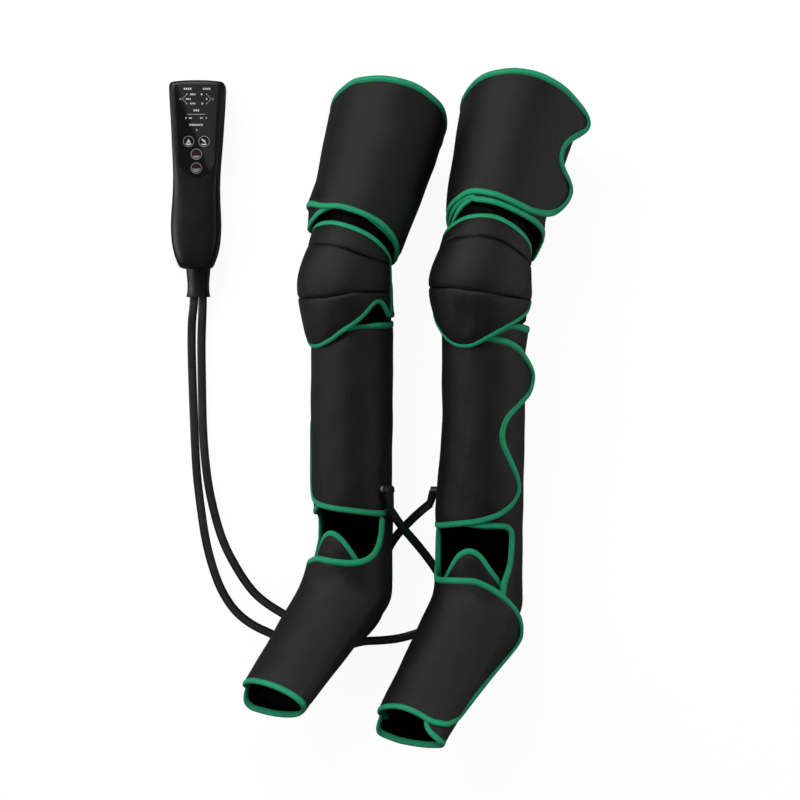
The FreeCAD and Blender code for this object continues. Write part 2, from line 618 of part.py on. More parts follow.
def thigh(side, leg, place):
    """Thigh wrap: an outer sleeve open at the front, its air bladder, and the closing flap."""
    full = leg["full"]
    frame = axis_frame(leg["knee_bend"], (0, 0, SIZES["knee_lift"]))
    low, high = [value * full for value in THIGH_RANGE]
    whole = (-180, 180)
    back = (leg["thigh_open"][1], 360 + leg["thigh_open"][0])
    top = rim_block(side + "_thigh_top", leg, frame, leg["thigh_top"], 74 * full, True)
    bottom = rim_block(side + "_thigh_bottom", leg, frame, leg["thigh_low"], 60 * full, False)
    sleeve_in = "fabric + layer_gap"

    def shell(name, outer_inset, inner_inset, angles, *trims):
        outer = cone_sector(name + "_outer", frame, low, high, outer_inset, leg, angles)
        inner = cone_sector(name + "_inner", frame, low - 5, high + 5, inner_inset, leg, whole)
        return cut(name, outer, inner, *trims)

    sleeve = shell(side + "_thigh_sleeve", sleeve_in, "2 * fabric + layer_gap", back, top, bottom)
    node(sleeve, side + "_thigh_sleeve", place)
    inner_rim = shifted(leg["thigh_top"], BLADDER_TRIM[0])
    lower_rim = shifted(leg["thigh_low"], BLADDER_TRIM[1])
    bladder_top = rim_block(side + "_bladder_top", leg, frame, inner_rim, 74 * full, True)
    bladder_low = rim_block(side + "_bladder_low", leg, frame, lower_rim, 60 * full, False)
    bladder = shell(side + "_thigh_bladder", "2 * fabric + 2 * layer_gap",
                    "2 * fabric + 2 * layer_gap + bladder",
                    (back[0] + BLADDER_SIDE, back[1] - BLADDER_SIDE), bladder_top, bladder_low)
    node(bladder, side + "_thigh_bladder", place)
    flap_low = rim_block(side + "_flap_bottom", leg, frame, leg["flap_low"], 60 * full, False)
    bite = flap_bite(side + "_thigh_bite", leg, frame, THIGH_HOLLOW)
    flap = shell(side + "_thigh_flap", "0", "fabric", leg["thigh_flap"], top, flap_low, bite)
    node(flap, side + "_thigh_flap", place)


def flap_bite(name, leg, frame, hollow):
    """Rod across the sleeve that cuts one hollow of a flap's wavy edge."""
    height, out, angle, radius = hollow
    front = out * leg["full"] * math.cos(math.radians(angle))
    base = frame.multVec(Vector(front, 0, height * leg["full"]))
    turn = frame.Rotation.multiply(Rotation(Vector(1, 0, 0), -90 * leg["outer"]))
    return rod(name, (base.x, base.y, base.z), radius * leg["full"], 120, turn)


def knee_loft(name, leg, insets):
    """Smooth body round the bent knee; insets draw each of its five rings in."""
    full = leg["full"]
    lean = math.radians(leg["knee_bend"])
    sections = []
    for index, (along, half_width, half_depth, lift, share) in enumerate(KNEE_RINGS):
        tilt = leg["knee_bend"] * share
        centre = (0, along * full, lift * full)
        if along > 0:
            centre = (0, along * full * math.cos(lean),
                      SIZES["knee_lift"] - along * full * math.sin(lean))
        frame = axis_frame(tilt, centre, 90)
        wide = "%s - %s" % (half_width * full, insets[index])
        deep = "%s - %s" % (half_depth * full, insets[index])
        if half_depth > half_width:
            wide, deep = deep, wide
            frame = axis_frame(tilt, centre)
        ring = add("Part::Ellipse", "%s_ring_%d" % (name, index), centre, frame.Rotation,
                   MajorRadius=wide, MinorRadius=deep)
        sections.append(ring)
    loft = doc.addObject("Part::Loft", name)
    loft.Sections = sections
    loft.Solid = True
    loft.MaxDegree = 3
    return loft


def knee(side, leg, place):
    """Knee: a stretch cuff joins thigh and calf, and a heated pad covers its front."""
    full = leg["full"]
    bent = axis_frame(leg["knee_bend"], (0, 0, SIZES["knee_lift"]))
    straight = axis_frame(0, (0, 0, 0))
    draw = [value * full for value in CUFF_DRAW]
    outer = knee_loft(side + "_cuff_outer", leg, draw)
    inner = knee_loft(side + "_cuff_inner", leg, [value + CUFF_THICK for value in draw])
    cap = rim_block(side + "_cuff_cap", leg, bent, CUFF_TOP, 54 * full, True)
    hem = rim_block(side + "_cuff_hem", leg, straight, CUFF_END, 44 * full, False)
    node(cut(side + "_knee_cuff", outer, inner, cap, hem), side + "_knee_cuff", place)
    pad_outer = knee_loft(side + "_pad_outer", leg, [0] * len(KNEE_RINGS))
    pad_inner = knee_loft(side + "_pad_inner", leg, PAD_DRAW)
    top = rim_block(side + "_pad_top", leg, bent, leg["pad_top"], 56 * full, True)
    low = rim_block(side + "_pad_low", leg, straight, leg["pad_low"], 56 * full, False)
    behind = box(side + "_pad_behind", (-150, -150, PAD_BACK - 134), (300, 400, 134))
    node(cut(side + "_knee_pad", pad_outer, pad_inner, top, low, behind), side + "_knee_pad",
         place)
    heat_outer = knee_loft(side + "_heater_outer", leg, HEATER_FRONT)
    heat_inner = knee_loft(side + "_heater_inner", leg, HEATER_BACK)
    patch = box(side + "_heater_patch", HEATER_LOW, HEATER_SPAN)
    node(common(side + "_knee_heater", cut(side + "_heater_skin", heat_outer, heat_inner), patch),
         side + "_knee_heater", place)


def calf(side, leg, place):
    """Calf wrap: straight sleeve open at the front, air bladder and wavy-edged flap."""
    full = leg["full"]
    frame = axis_frame(0, (0, 0, 0))
    low, high = CALF_END * full, CALF_TOP * full
    back = (CALF_OPEN[1], 360 + CALF_OPEN[0])
    radius = "calf_radius * %s" % full

    def shell(name, outer_inset, inner_inset, angles, bottom, top, *trims):
        outer = rod_sector(name + "_outer", frame, bottom, top, radius + " - " + outer_inset, leg,
                           angles)
        inner = rod_sector(name + "_inner", frame, bottom - 5, top + 5,
                           radius + " - (%s)" % inner_inset, leg, (-180, 180))
        return cut(name, outer, inner, *trims)

    base, outward = port_seat(leg)
    seat = rod(side + "_port_seat", (base.x, base.y, base.z), "port_radius + 0.05", "8",
               Rotation(Vector(0, 0, 1), outward))
    node(shell(side + "_calf_sleeve", "(fabric + layer_gap)", "2 * fabric + layer_gap", back, low,
               high, seat), side + "_calf_sleeve", place)
    node(shell(side + "_calf_bladder", "(2 * fabric + 2 * layer_gap)",
               "2 * fabric + 2 * layer_gap + bladder",
               (back[0] + BLADDER_SIDE, back[1] - BLADDER_SIDE), low + 10,
               CALF_BLADDER_TOP * full), side + "_calf_bladder", place)
    bite = flap_bite(side + "_calf_bite", leg, frame, CALF_HOLLOW)
    top = rim_block(side + "_calf_flap_top", leg, frame, CALF_FLAP_TOP, 51 * full, True)
    bottom = rim_block(side + "_calf_flap_low", leg, frame, CALF_FLAP_END, 51 * full, False)
    under_pad = rim_block(side + "_calf_flap_knee", leg, frame, shifted(leg["pad_low"], -FLAP_GAP),
                          56 * full, True)
    node(shell(side + "_calf_flap", "0", "fabric", CALF_FLAP, low, high, bite, top, bottom,
               under_pad), side + "_calf_flap", place)


def foot_loft(name, leg, inset, start, end):
    """Solid frustum of the foot between two distances from the ankle towards the toes."""
    full = leg["full"]
    bend = SIZES["foot_bend"]
    lean = math.radians(bend)
    sections = []
    for index, along in enumerate((start, end)):
        share = along / SIZES["foot_length"]
        centre = (0, (-SIZES["foot_start"] - along * math.cos(lean)) * full,
                  along * math.sin(lean) * full)
        wide = "%s * (instep_half_width + (toe_half_width - instep_half_width) * %s) - (%s)"
        deep = "%s * (instep_half_height + (toe_half_height - instep_half_height) * %s) - (%s)"
        frame = axis_frame(bend, centre, 90)
        sections.append(add("Part::Ellipse", "%s_ring_%d" % (name, index), centre,
                            frame.Rotation, MajorRadius=wide % (full, share, inset),
                            MinorRadius=deep % (full, share, inset)))
    loft = doc.addObject("Part::Loft", name)
    loft.Sections = sections
    loft.Solid = True
    loft.Ruled = True
    return loft


def sole_block(name, leg, inset):
    """Everything under the sole plane, which runs from the heel to the tip of the toes."""
    full = leg["full"]
    lean = math.radians(SIZES["foot_bend"])
    taper = math.atan2(SIZES["instep_half_height"] - SIZES["toe_half_height"],
                       SIZES["foot_length"])
    below = SIZES["instep_half_height"] * full - size(inset) - SIZES["heel_flat"]
    origin = Vector(0, -SIZES["foot_start"] * full - below * math.sin(lean),
                    -below * math.cos(lean))
    turn = Rotation(Vector(1, 0, 0), -math.degrees(lean + taper))
    corner = origin + turn.multVec(Vector(-150, -350, -200))
    return box(name, (corner.x, corner.y, corner.z), (300, 700, 200), turn)


def foot_volume(name, leg, inset, end):
    """Heel and foot as one solid: an ankle column trimmed by the sole, and the foot frustum."""
    full = leg["full"]
    frame = axis_frame(0, (0, 0, 0))
    column = rod_sector(name + "_column", frame, HEEL_DEPTH * full,
                        (CALF_END * full - 0.1) + (10 if inset != FOOT_SKIN else 0),
                        "ankle_radius * %s - (%s)" % (full, inset), leg, (-180, 180))
    heel = cut(name + "_heel", column, sole_block(name + "_sole", leg, inset))
    return fuse(name, heel, foot_loft(name + "_foot", leg, inset, -10, end))


FOOT_SKIN = "fabric + layer_gap"


def foot(side, leg, place):
    """Foot wrap: heel sleeve with an ankle window and open toe, its bladder and its flap."""
    full = leg["full"]
    outer = foot_volume(side + "_foot_outer", leg, FOOT_SKIN, SLEEVE_TOE)
    inner = foot_volume(side + "_foot_inner", leg, "2 * fabric + layer_gap",
                        SLEEVE_TOE + 8)
    window = box(side + "_window", (-90, WINDOW_END * full, 8),
                 (180, (CALF_END - WINDOW_END + 8) * full, 90))
    instep = axis_frame(SIZES["foot_bend"], (0, -SIZES["foot_start"] * full, 0))
    slot_start = instep.multVec(Vector(SLOT_FRONT, -SLOT_HALF_WIDTH, -230) * full)
    slot = box(side + "_instep_slot", (slot_start.x, slot_start.y, slot_start.z),
               (60, 2 * SLOT_HALF_WIDTH * full, 290 * full), instep.Rotation)
    node(carve(side + "_foot_sleeve", outer, inner, window, slot), side + "_foot_sleeve", place)
    pad_out = foot_volume(side + "_foot_pad_out", leg, "2 * fabric + 2 * layer_gap",
                          BLADDER_TOE)
    pad_in = foot_volume(side + "_foot_pad_in", leg, "2 * fabric + 2 * layer_gap + bladder",
                         BLADDER_TOE + 10)
    above = box(side + "_foot_pad_above", (-90, WINDOW_END * full - 6, -90), (180, 140, 220))
    over = instep.multVec(Vector(-6 * full, -90, -250))
    upper = box(side + "_foot_pad_over", (over.x, over.y, over.z), (120, 180, 330),
                instep.Rotation)
    node(carve(side + "_foot_bladder", pad_out, pad_in, above, upper), side + "_foot_bladder",
         place)
    skin = foot_loft(side + "_flap_skin", leg, "0", FLAP_START, FLAP_TOE)
    hollow = foot_loft(side + "_flap_hollow", leg, "fabric", FLAP_START - 6, FLAP_TOE + 6)
    under = instep.multVec(Vector(FOOT_EDGE * full - 100, -90, -250))
    under_box = box(side + "_flap_under", (under.x, under.y, under.z), (100, 180, 330),
                    instep.Rotation)
    inner_start = -90 if leg["outer"] > 0 else 0
    hinge = instep.multVec(Vector(FOOT_HINGE * full - 100, inner_start, -250))
    hinge_box = box(side + "_flap_hinge_side", (hinge.x, hinge.y, hinge.z), (100, 90, 330),
                    instep.Rotation)
    column = rod_sector(side + "_flap_column", axis_frame(0, (0, 0, 0)),
                        HEEL_DEPTH * full, -280 * full,
                        "ankle_radius * %s - fabric" % full, leg, (-180, 180))
    node(carve(side + "_foot_flap", skin, hollow, under_box, hinge_box, column),
         side + "_foot_flap", place)


def port_seat(leg):
    """Centre of the port's base, let a little way into the sleeve, and its outward direction."""
    angle = math.radians(leg["port_angle"]) * leg["outer"]
    surface = SIZES["calf_radius"] * leg["full"] - SIZES["fabric"] - SIZES["layer_gap"]
    outward = Vector(math.sin(angle), 0, math.cos(angle))
    return outward * (surface - PORT_SINK) + Vector(0, PORT_Y * leg["full"], 0), outward


def air_port(side, leg, place):
    """Port boss on the calf that the hose's plug is pushed on to."""
    base, outward = port_seat(leg)
    turn = Rotation(Vector(0, 0, 1), outward)
    flange = rod(side + "_port_flange", (base.x, base.y, base.z), "port_radius", "3", turn)
    neck_base = base + outward * 3
    neck = rod(side + "_port_neck", (neck_base.x, neck_base.y, neck_base.z), "4.2", "6", turn)
    node(fuse(side + "_air_port", flange, neck), side + "_air_port", place)
    return base + outward * 9, outward


def air_plug(side, leg, place, mouth, outward):
    """Elbow plug: a round body over the port's neck and an arm that points to the hose."""
    route = RIGHT_ROUTE if side == "right" else LEFT_ROUTE
    here = place.multVec(mouth)
    out = place.Rotation.multVec(outward)
    hose_end = Vector(*route[-1]) + SET_SHIFT
    centre = here + out * 6.5
    arm = hose_end - centre
    body = rod(side + "_plug_body", (here.x, here.y, here.z), "plug_radius", "10",
               Rotation(Vector(0, 0, 1), out))
    elbow = add("Part::Cone", side + "_plug_arm", (centre.x, centre.y, centre.z),
                Rotation(Vector(0, 0, 1), arm), Radius1="plug_radius - 0.4", Radius2="4.6",
                Height=arm.Length)
    plug = fuse(side + "_air_plug", body, elbow)
    node(plug, side + "_air_plug", Placement())


# ---- hoses --------------------------------------------------------------------------------------

def hose_path(points):
    """Straight runs joined by tangent arcs as large as the runs allow; returns wire and radii."""
    edges = []
    radii = []
    start = points[0]
    for before, corner, after in zip(points, points[1:], points[2:]):
        way_in = (corner - before).normalize()
        way_out = (after - corner).normalize()
        turn = way_in.getAngle(way_out)
        reach = 0.45 * min((corner - before).Length, (after - corner).Length)
        radius = reach / math.tan(turn / 2)
        first = corner - way_in * reach
        last = corner + way_out * reach
        bisector = (way_out - way_in).normalize()
        middle = corner + bisector * (radius / math.cos(turn / 2) - radius)
        edges.append(Part.LineSegment(start, first).toShape())
        edges.append(Part.Arc(first, middle, last).toShape())
        radii.append(radius)
        start = last
    edges.append(Part.LineSegment(start, points[-1]).toShape())
    return Part.Wire(edges), radii


def hose(side, route):
    points = [Vector(*point) + SET_SHIFT for point in route]
    path, radii = hose_path(points)
    across = (points[1] - points[0]).normalize()
    profile = Part.Wire(Part.makeCircle(SIZES["hose_radius"], points[0], across))
    shape = path.makePipeShell([profile], True, False)
    section = math.pi * SIZES["hose_radius"] ** 2
    print(side, "hose length %.0f" % path.Length, "volume ratio %.4f"
          % (shape.Volume / (section * path.Length)),
          "radii", " ".join("%.0f" % radius for radius in radii))
    tube = doc.addObject("Part::Feature", side + "_hose")
    tube.Shape = shape
    node(tube, side + "_hose", Placement())


# ---- build --------------------------------------------------------------------------------------

def controller():
    front_shell()
    rear_shell()
    control_panel()
    button_rings()
    buttons()
    circuit_board()
    pump()
    valves()
    air_lines()
    hose_gland()
    dc_inlet()
    case_screws()
    rubber_feet()


def garment(side, leg):
    place = leg_place(leg)
    thigh(side, leg, place)
    knee(side, leg, place)
    calf(side, leg, place)
    foot(side, leg, place)
    mouth, outward = air_port(side, leg, place)
    air_plug(side, leg, place, mouth, outward)


def check_and_write():
    doc.recompute()
    bad = [obj.Name for obj in doc.Objects if "Invalid" in obj.State or "Error" in obj.State]
    if bad:
        raise RuntimeError("objects that failed: " + ", ".join(bad))
    for obj in nodes:
        if obj.Shape.isNull() or not obj.Shape.isValid() or obj.Shape.Volume <= 0:
            raise RuntimeError("bad shape: " + obj.Label)
    os.makedirs("parts", exist_ok=True)
    for obj in nodes:
        obj.Shape.exportStep("parts/%s.step" % obj.Label)
        bounds = obj.Shape.BoundBox
        print("%-20s solids %d volume %9.0f  x %7.1f %7.1f  y %7.1f %7.1f  z %6.2f %6.2f" % (
            obj.Label, len(obj.Shape.Solids), obj.Shape.Volume, bounds.XMin, bounds.XMax,
            bounds.YMin, bounds.YMax, bounds.ZMin, bounds.ZMax))


make_sheet()
controller()
for side_name, leg_data in LEGS.items():
    garment(side_name, leg_data)
hose("right", RIGHT_ROUTE)
hose("left", LEFT_ROUTE)
check_and_write()
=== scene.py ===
import math

import bpy
import numpy as np
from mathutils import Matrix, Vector, geometry


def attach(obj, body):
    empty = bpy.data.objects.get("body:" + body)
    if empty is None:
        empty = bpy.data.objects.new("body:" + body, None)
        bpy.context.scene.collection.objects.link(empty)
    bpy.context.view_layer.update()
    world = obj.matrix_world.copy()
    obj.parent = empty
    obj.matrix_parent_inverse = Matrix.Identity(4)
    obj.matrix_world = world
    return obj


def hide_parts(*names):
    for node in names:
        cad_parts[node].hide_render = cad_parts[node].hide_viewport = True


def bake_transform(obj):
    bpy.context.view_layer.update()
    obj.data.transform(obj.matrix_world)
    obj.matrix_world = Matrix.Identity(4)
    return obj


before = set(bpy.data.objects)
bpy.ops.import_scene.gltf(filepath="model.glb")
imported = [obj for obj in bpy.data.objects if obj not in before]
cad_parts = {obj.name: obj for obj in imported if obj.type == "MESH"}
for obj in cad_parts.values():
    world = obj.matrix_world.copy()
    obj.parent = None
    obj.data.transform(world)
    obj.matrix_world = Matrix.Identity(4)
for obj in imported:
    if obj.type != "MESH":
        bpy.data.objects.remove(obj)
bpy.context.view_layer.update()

MM = 0.001


# ---------------------------------------------------------------- camera and light

CAMERA_AT = (33.47, 5.35, 3260.0)
LENS = 115.2


def make_camera():
    """Long-lens camera that looks straight down on the set."""
    data = bpy.data.cameras.new("camera")
    data.lens = LENS
    data.sensor_width = 36
    data.clip_end = 20
    camera = bpy.data.objects.new("camera", data)
    camera.location = [value * MM for value in CAMERA_AT]
    bpy.context.scene.collection.objects.link(camera)
    bpy.context.scene.camera = camera


def softbox(name, place, target, size, power):
    """Rectangular studio light that looks at a point."""
    data = bpy.data.lights.new(name, "AREA")
    data.shape = "RECTANGLE"
    data.size, data.size_y = size
    data.energy = power
    light = bpy.data.objects.new(name, data)
    light.location = place
    light.rotation_euler = (Vector(target) - Vector(place)).to_track_quat("-Z", "Y").to_euler()
    bpy.context.scene.collection.objects.link(light)


make_camera()


# ---------------------------------------------------------------- materials

def colour(red, green, blue):
    """Colour of a printed 0-255 value as the linear light that a shader wants."""
    def linear(value):
        value /= 255
        return value / 12.92 if value <= 0.04045 else ((value + 0.055) / 1.055) ** 2.4
    return (linear(red), linear(green), linear(blue), 1.0)


OBJECT_PLACE = 3  # output of Texture Coordinate that gives the place on the piece
THREAD_DEPTH = 0.0002


class Wiring:
    """Adds nodes to a material or a node group and joins them."""

    def __init__(self, tree):
        self.tree = tree

    def add(self, kind, sockets=None, out=0, **properties):
        """New node with its sockets set or joined; returns one of its outputs."""
        made = self.tree.nodes.new("ShaderNode" + kind)
        for key, value in properties.items():
            setattr(made, key, value)
        for key, value in (sockets or {}).items():
            if isinstance(value, bpy.types.NodeSocket):
                self.tree.links.new(value, made.inputs[key])
            else:
                made.inputs[key].default_value = value
        return made.outputs[out]

    def maths(self, kind, a, b=0.0, c=0.0):
        return self.add("Math", {0: a, 1: b, 2: c}, operation=kind)

    def ramp(self, value, low, high, start=0.0, end=1.0):
        """Carries a value from one range over to another."""
        return self.add("MapRange", {0: value, 1: low, 2: high, 3: start, 4: end})

    def blend(self, share, a, b):
        """Mix of two colours."""
        made = self.tree.nodes.new("ShaderNodeMix")
        made.data_type = "RGBA"
        for index, value in ((0, share), (6, a), (7, b)):
            if isinstance(value, bpy.types.NodeSocket):
                self.tree.links.new(value, made.inputs[index])
            else:
                made.inputs[index].default_value = value
        return made.outputs[2]

    def noise(self, size, detail, **more):
        """Noise fixed to the piece itself."""
        place = self.add("TexCoord", out=OBJECT_PLACE)
        return self.add("TexNoise", {"Vector": place, "Scale": size, "Detail": detail, **more})

    def cut(self):
        """Place along and across the cut of a piece, in metres or shares."""
        split = self.add("SeparateXYZ", {0: self.add("UVMap", uv_map="cut")}).node
        return split.outputs[0], split.outputs[1]

    def scaled(self, vector, share):
        """Vector or colour times a share."""
        return self.add("VectorMath", {0: vector, "Scale": share}, operation="SCALE")

    def bump(self, height, strength, distance, normal=None):
        """Fine relief from a height, on top of other relief where that is given."""
        sockets = {"Height": height, "Strength": strength, "Distance": distance}
        if normal is not None:
            sockets["Normal"] = normal
        return self.add("Bump", sockets)


def group(name, *inputs):
    """Empty node group for a finish: its wiring, inputs and a function that sets its outputs."""
    tree = bpy.data.node_groups.new(name, "ShaderNodeTree")
    for label, kind, value in inputs:
        socket = tree.interface.new_socket(label, in_out="INPUT", socket_type="NodeSocket" + kind)
        socket.default_value = value
    for label, kind in (("Colour", "Color"), ("Roughness", "Float"), ("Normal", "Vector")):
        tree.interface.new_socket(label, in_out="OUTPUT", socket_type="NodeSocket" + kind)
    start = tree.nodes.new("NodeGroupInput")
    end = tree.nodes.new("NodeGroupOutput")

    def finish(**results):
        for label, value in results.items():
            tree.links.new(value, end.inputs[label])
        return tree

    return Wiring(tree), start.outputs, finish


def woven_group():
    """Fine plain weave laid along the cut of a panel, with soft mottling and lint."""
    w, given, finish = group("woven_cloth", ("Base", "Color", (0.02, 0.02, 0.02, 1)),
                             ("Threads", "Float", 7600.0))
    cut = w.add("UVMap", uv_map="cut")
    split = w.add("SeparateXYZ", {0: w.scaled(cut, given["Threads"])}).node
    across, along = (w.maths("SINE", output) for output in split.outputs[:2])
    threads = w.maths("MULTIPLY", across, along)
    mottle = w.noise(26.0, 5.0, Roughness=0.6)
    lint = w.ramp(w.noise(420.0, 2.0), 0.62, 0.8, 0.0, 0.12)
    tinted = w.scaled(given["Base"], w.ramp(mottle, 0.3, 0.7, 0.82, 1.2))
    dusty = w.blend(lint, tinted, (0.05, 0.05, 0.052, 1))
    lit = w.blend(w.ramp(threads, -1, 1, 0.0, 0.25), dusty, (0.0, 0.0, 0.0, 1))
    creases = w.bump(mottle, 0.25, 0.004)
    return finish(Colour=lit, Roughness=w.ramp(mottle, 0.2, 0.8, 0.42, 0.54),
                  Normal=w.bump(threads, 0.35, THREAD_DEPTH, creases))


RIBS, STITCHES = 5200.0, 2100.0  # along the ribbon, in radians for a metre
STITCH_LINE, FOLD_MIDDLE = 0.18, 0.27  # shares of the way round the ribbon; the painted light is brightest at the fold's middle, the ribbon's top


def ribbon_group():
    """Ribbed bias binding: cross ribs, a stitched line near the inner edge, random wear, and
    painted light that is brightest along the fold's middle, with painted shade towards the edges.
    """
    w, given, finish = group("ribbed_ribbon", ("Base", "Color", (0.02, 0.2, 0.1, 1)))
    along, across = w.cut()
    ribs = w.maths("SINE", w.maths("MULTIPLY", along, RIBS))
    dash = w.maths("GREATER_THAN", w.maths("SINE", w.maths("MULTIPLY", along, STITCHES)), -0.35)
    stitch = w.maths("MULTIPLY", dash, w.maths("COMPARE", across, STITCH_LINE, 0.02))
    worn = w.noise(90.0, 4.0)
    off_middle = w.maths("ABSOLUTE", w.maths("SUBTRACT", across, FOLD_MIDDLE))
    # Painted light and shade: the ribbon's top is lighter and its edges darker, as a lamp above
    # would make them
    edge = w.ramp(off_middle, 0.0, 0.25, 1.12, 0.72)
    shade = w.maths("MULTIPLY", edge, w.ramp(worn, 0.25, 0.75, 0.86, 1.12))
    sewn = w.blend(w.maths("MULTIPLY", stitch, 0.5), w.scaled(given["Base"], shade),
                   (0.004, 0.06, 0.03, 1))
    height = w.maths("SUBTRACT", w.maths("MULTIPLY", ribs, 0.5), w.maths("MULTIPLY", stitch, 3.0))
    return finish(Colour=sewn, Roughness=w.ramp(worn, 0.2, 0.8, 0.5, 0.68),
                  Normal=w.bump(height, 0.5, THREAD_DEPTH))


def moulded_group():
    """Moulded or worn hard surface: fine grain, faint clouding and rubbed spots."""
    w, given, finish = group("moulded", ("Base", "Color", (0.02, 0.02, 0.02, 1)),
                             ("Grain", "Float", 900.0), ("Rough", "Float", 0.4),
                             ("Depth", "Float", 0.1))
    cloud = w.noise(30.0, 4.0)
    grain = w.noise(given["Grain"], 2.0)
    change = w.ramp(cloud, 0.3, 0.7, -0.05, 0.06)
    return finish(Colour=w.scaled(given["Base"], w.ramp(cloud, 0.3, 0.7, 0.88, 1.12)),
                  Roughness=w.maths("ADD", given["Rough"], change),
                  Normal=w.bump(grain, given["Depth"], THREAD_DEPTH))


# The panel's painted reflection, a paler zone, starts at this point and spreads in this direction
REFLECTION_START = (-0.2477, 0.4009, 0.046)
REFLECTION_SLOPE = (0.932, 0.361, 0.0)


def smoked_group():
    """Smoked panel over a dark tray, with a painted reflection of a softbox: a paler zone that
    starts along one slanted line.
    """
    w, _, finish = group("smoked_panel_painted_reflection")
    place = w.add("TexCoord", out=OBJECT_PLACE)
    offset = w.add("VectorMath", {0: place, 1: REFLECTION_START}, operation="SUBTRACT")
    beyond = w.add("VectorMath", {0: offset, 1: REFLECTION_SLOPE}, out=1, operation="DOT_PRODUCT")
    cloud = w.noise(60.0, 3.0)
    # Painted reflection: paler past the slanted line, easing off a little further on
    painted_reflection = w.maths("MULTIPLY", w.ramp(beyond, -0.002, 0.003), w.ramp(beyond, 0.0, 0.05, 1.0, 0.75))
    return finish(Colour=w.blend(painted_reflection, colour(6, 6, 7), colour(56, 56, 57)),
                  Roughness=w.ramp(cloud, 0.3, 0.7, 0.12, 0.17), Normal=w.bump(cloud, 0.02, 0.0005))


HOSE_TOP = 0.25  # share of the way round the hose where its top lies; the painted highlight is centred there


def hose_group():
    """Extruded hose rubber: its top carries a painted highlight, its sides stay dark, with fine
    grain.
    """
    w, given, finish = group("hose_painted_highlight", ("Base", "Color", (0.02, 0.02, 0.02, 1)),
                             ("Crest", "Color", (0.1, 0.1, 0.1, 1)))
    _, round_it = w.cut()
    from_top = w.maths("ABSOLUTE", w.maths("SUBTRACT", round_it, HOSE_TOP))
    cloud = w.noise(45.0, 4.0)
    # Painted highlight along the top of the hose, uneven along its length
    painted_highlight = w.maths("MULTIPLY", w.ramp(from_top, 0.004, 0.055, 1.0, 0.0),
                     w.ramp(cloud, 0.3, 0.7, 0.6, 1.0))
    return finish(Colour=w.blend(painted_highlight, given["Base"], given["Crest"]),
                  Roughness=w.ramp(cloud, 0.3, 0.7, 0.26, 0.34),
                  Normal=w.bump(w.noise(1500.0, 2.0), 0.05, THREAD_DEPTH))


GROUPS = {"woven": woven_group(), "ribbon": ribbon_group(), "moulded": moulded_group(),
          "smoked": smoked_group(), "hose": hose_group()}


def material(name, kind, values, **shader):
    """Material whose colour, roughness and normal come from one of the shared groups."""
    made = bpy.data.materials.new(name)
    made.use_nodes = True
    tree = made.node_tree
    surface = tree.nodes["Principled BSDF"]
    source = tree.nodes.new("ShaderNodeGroup")
    source.node_tree = GROUPS[kind]
    for key, value in values.items():
        source.inputs[key].default_value = value
    for label, socket in (("Colour", "Base Color"), ("Roughness", "Roughness"),
                          ("Normal", "Normal")):
        tree.links.new(source.outputs[label], surface.inputs[socket])
    for key, value in shader.items():
        surface.inputs[key.replace("_", " ")].default_value = value
    return made


def plain(name, base, rough, grain=900.0, depth=0.1, **shader):
    """Moulded finish with its own colour, roughness and grain."""
    return material(name, "moulded", {"Base": base, "Rough": rough, "Grain": grain, "Depth": depth},
                    **shader)


CLOTH_SHINE = {"Sheen Weight": 0.03, "Sheen Roughness": 0.4, "Specular IOR Level": 0.5}
NYLON = material("black_nylon", "woven", {"Base": colour(15, 14, 14)}, **CLOTH_SHINE)
PAD_NYLON = material("knee_pad_nylon", "woven", {"Base": colour(17, 16, 16)}, **CLOTH_SHINE)
LINING = material("black_lining", "woven", {"Base": colour(3, 3, 3), "Threads": 5200.0},
                  **{"Specular IOR Level": 0.02})
# Near-black, darker than the nylon: on the cuff this is partly the rib's own black and partly
# painted shade for the hollow between pad and thigh
STRETCH = material("black_stretch_rib", "woven", {"Base": colour(5, 5, 5), "Threads": 3200.0},
                   **{"Specular IOR Level": 0.05})
BINDING = material("green_binding", "ribbon", {"Base": colour(33, 187, 131)},
                   **{"Specular IOR Level": 0.35, "Sheen Weight": 0.1})
# The lighter colour is a painted highlight along the top of each hose
HOSE = material("hose_rubber", "hose", {"Base": colour(10, 10, 10), "Crest": colour(66, 66, 66)},
                **{"Specular IOR Level": 0.5})
CASE = plain("case_plastic", colour(15, 15, 16), 0.36, 1600.0, 0.12)
# The smoked panel's paler slanted zone is a painted reflection
GLOSS = material("panel_gloss", "smoked", {}, **{"Coat Weight": 0.6, "Coat Roughness": 0.04})
RING = plain("ring_metal_grey", colour(176, 176, 178), 0.34, 1200.0, 0.05, Metallic=0.3)
KEY_RED = plain("key_red", colour(62, 22, 24), 0.22, 900.0, 0.03, **{"Coat Weight": 0.4})
KEY_DARK = plain("key_dark", colour(12, 12, 13), 0.25, 900.0, 0.03, **{"Coat Weight": 0.4})
PRINT = plain("panel_print", colour(244, 244, 246), 0.5)
PORT = plain("port_grey_plastic", colour(176, 176, 178), 0.36, 1400.0, 0.08)
PORT_DARK = plain("port_dark_plastic", colour(26, 26, 27), 0.45, 1400.0, 0.08)
STEEL = plain("bright_steel", colour(178, 178, 180), 0.3, 1400.0, 0.06, Metallic=1.0)
BOARD = plain("green_board", colour(24, 84, 52), 0.4, 700.0, 0.1)
LAMP = plain("clear_lamp", colour(210, 214, 216), 0.15, 900.0, 0.02)
FILM = plain("bladder_film", colour(16, 16, 17), 0.35, 200.0, 0.3)
HEATER = plain("heater_film", colour(150, 96, 52), 0.4, 300.0, 0.1)
SOFT_GREY = plain("clear_tube", colour(190, 192, 190), 0.3, 700.0, 0.04)
RUBBER = plain("black_rubber", colour(24, 24, 24), 0.7, 900.0, 0.2)


# ---------------------------------------------------------------- mesh helpers

def shade_smooth(mesh, crease=50):
    """Smooth shading that stops at edges sharper than the crease angle."""
    mesh.polygons.foreach_set("use_smooth", [True] * len(mesh.polygons))
    mesh.set_sharp_from_angle(angle=math.radians(crease))


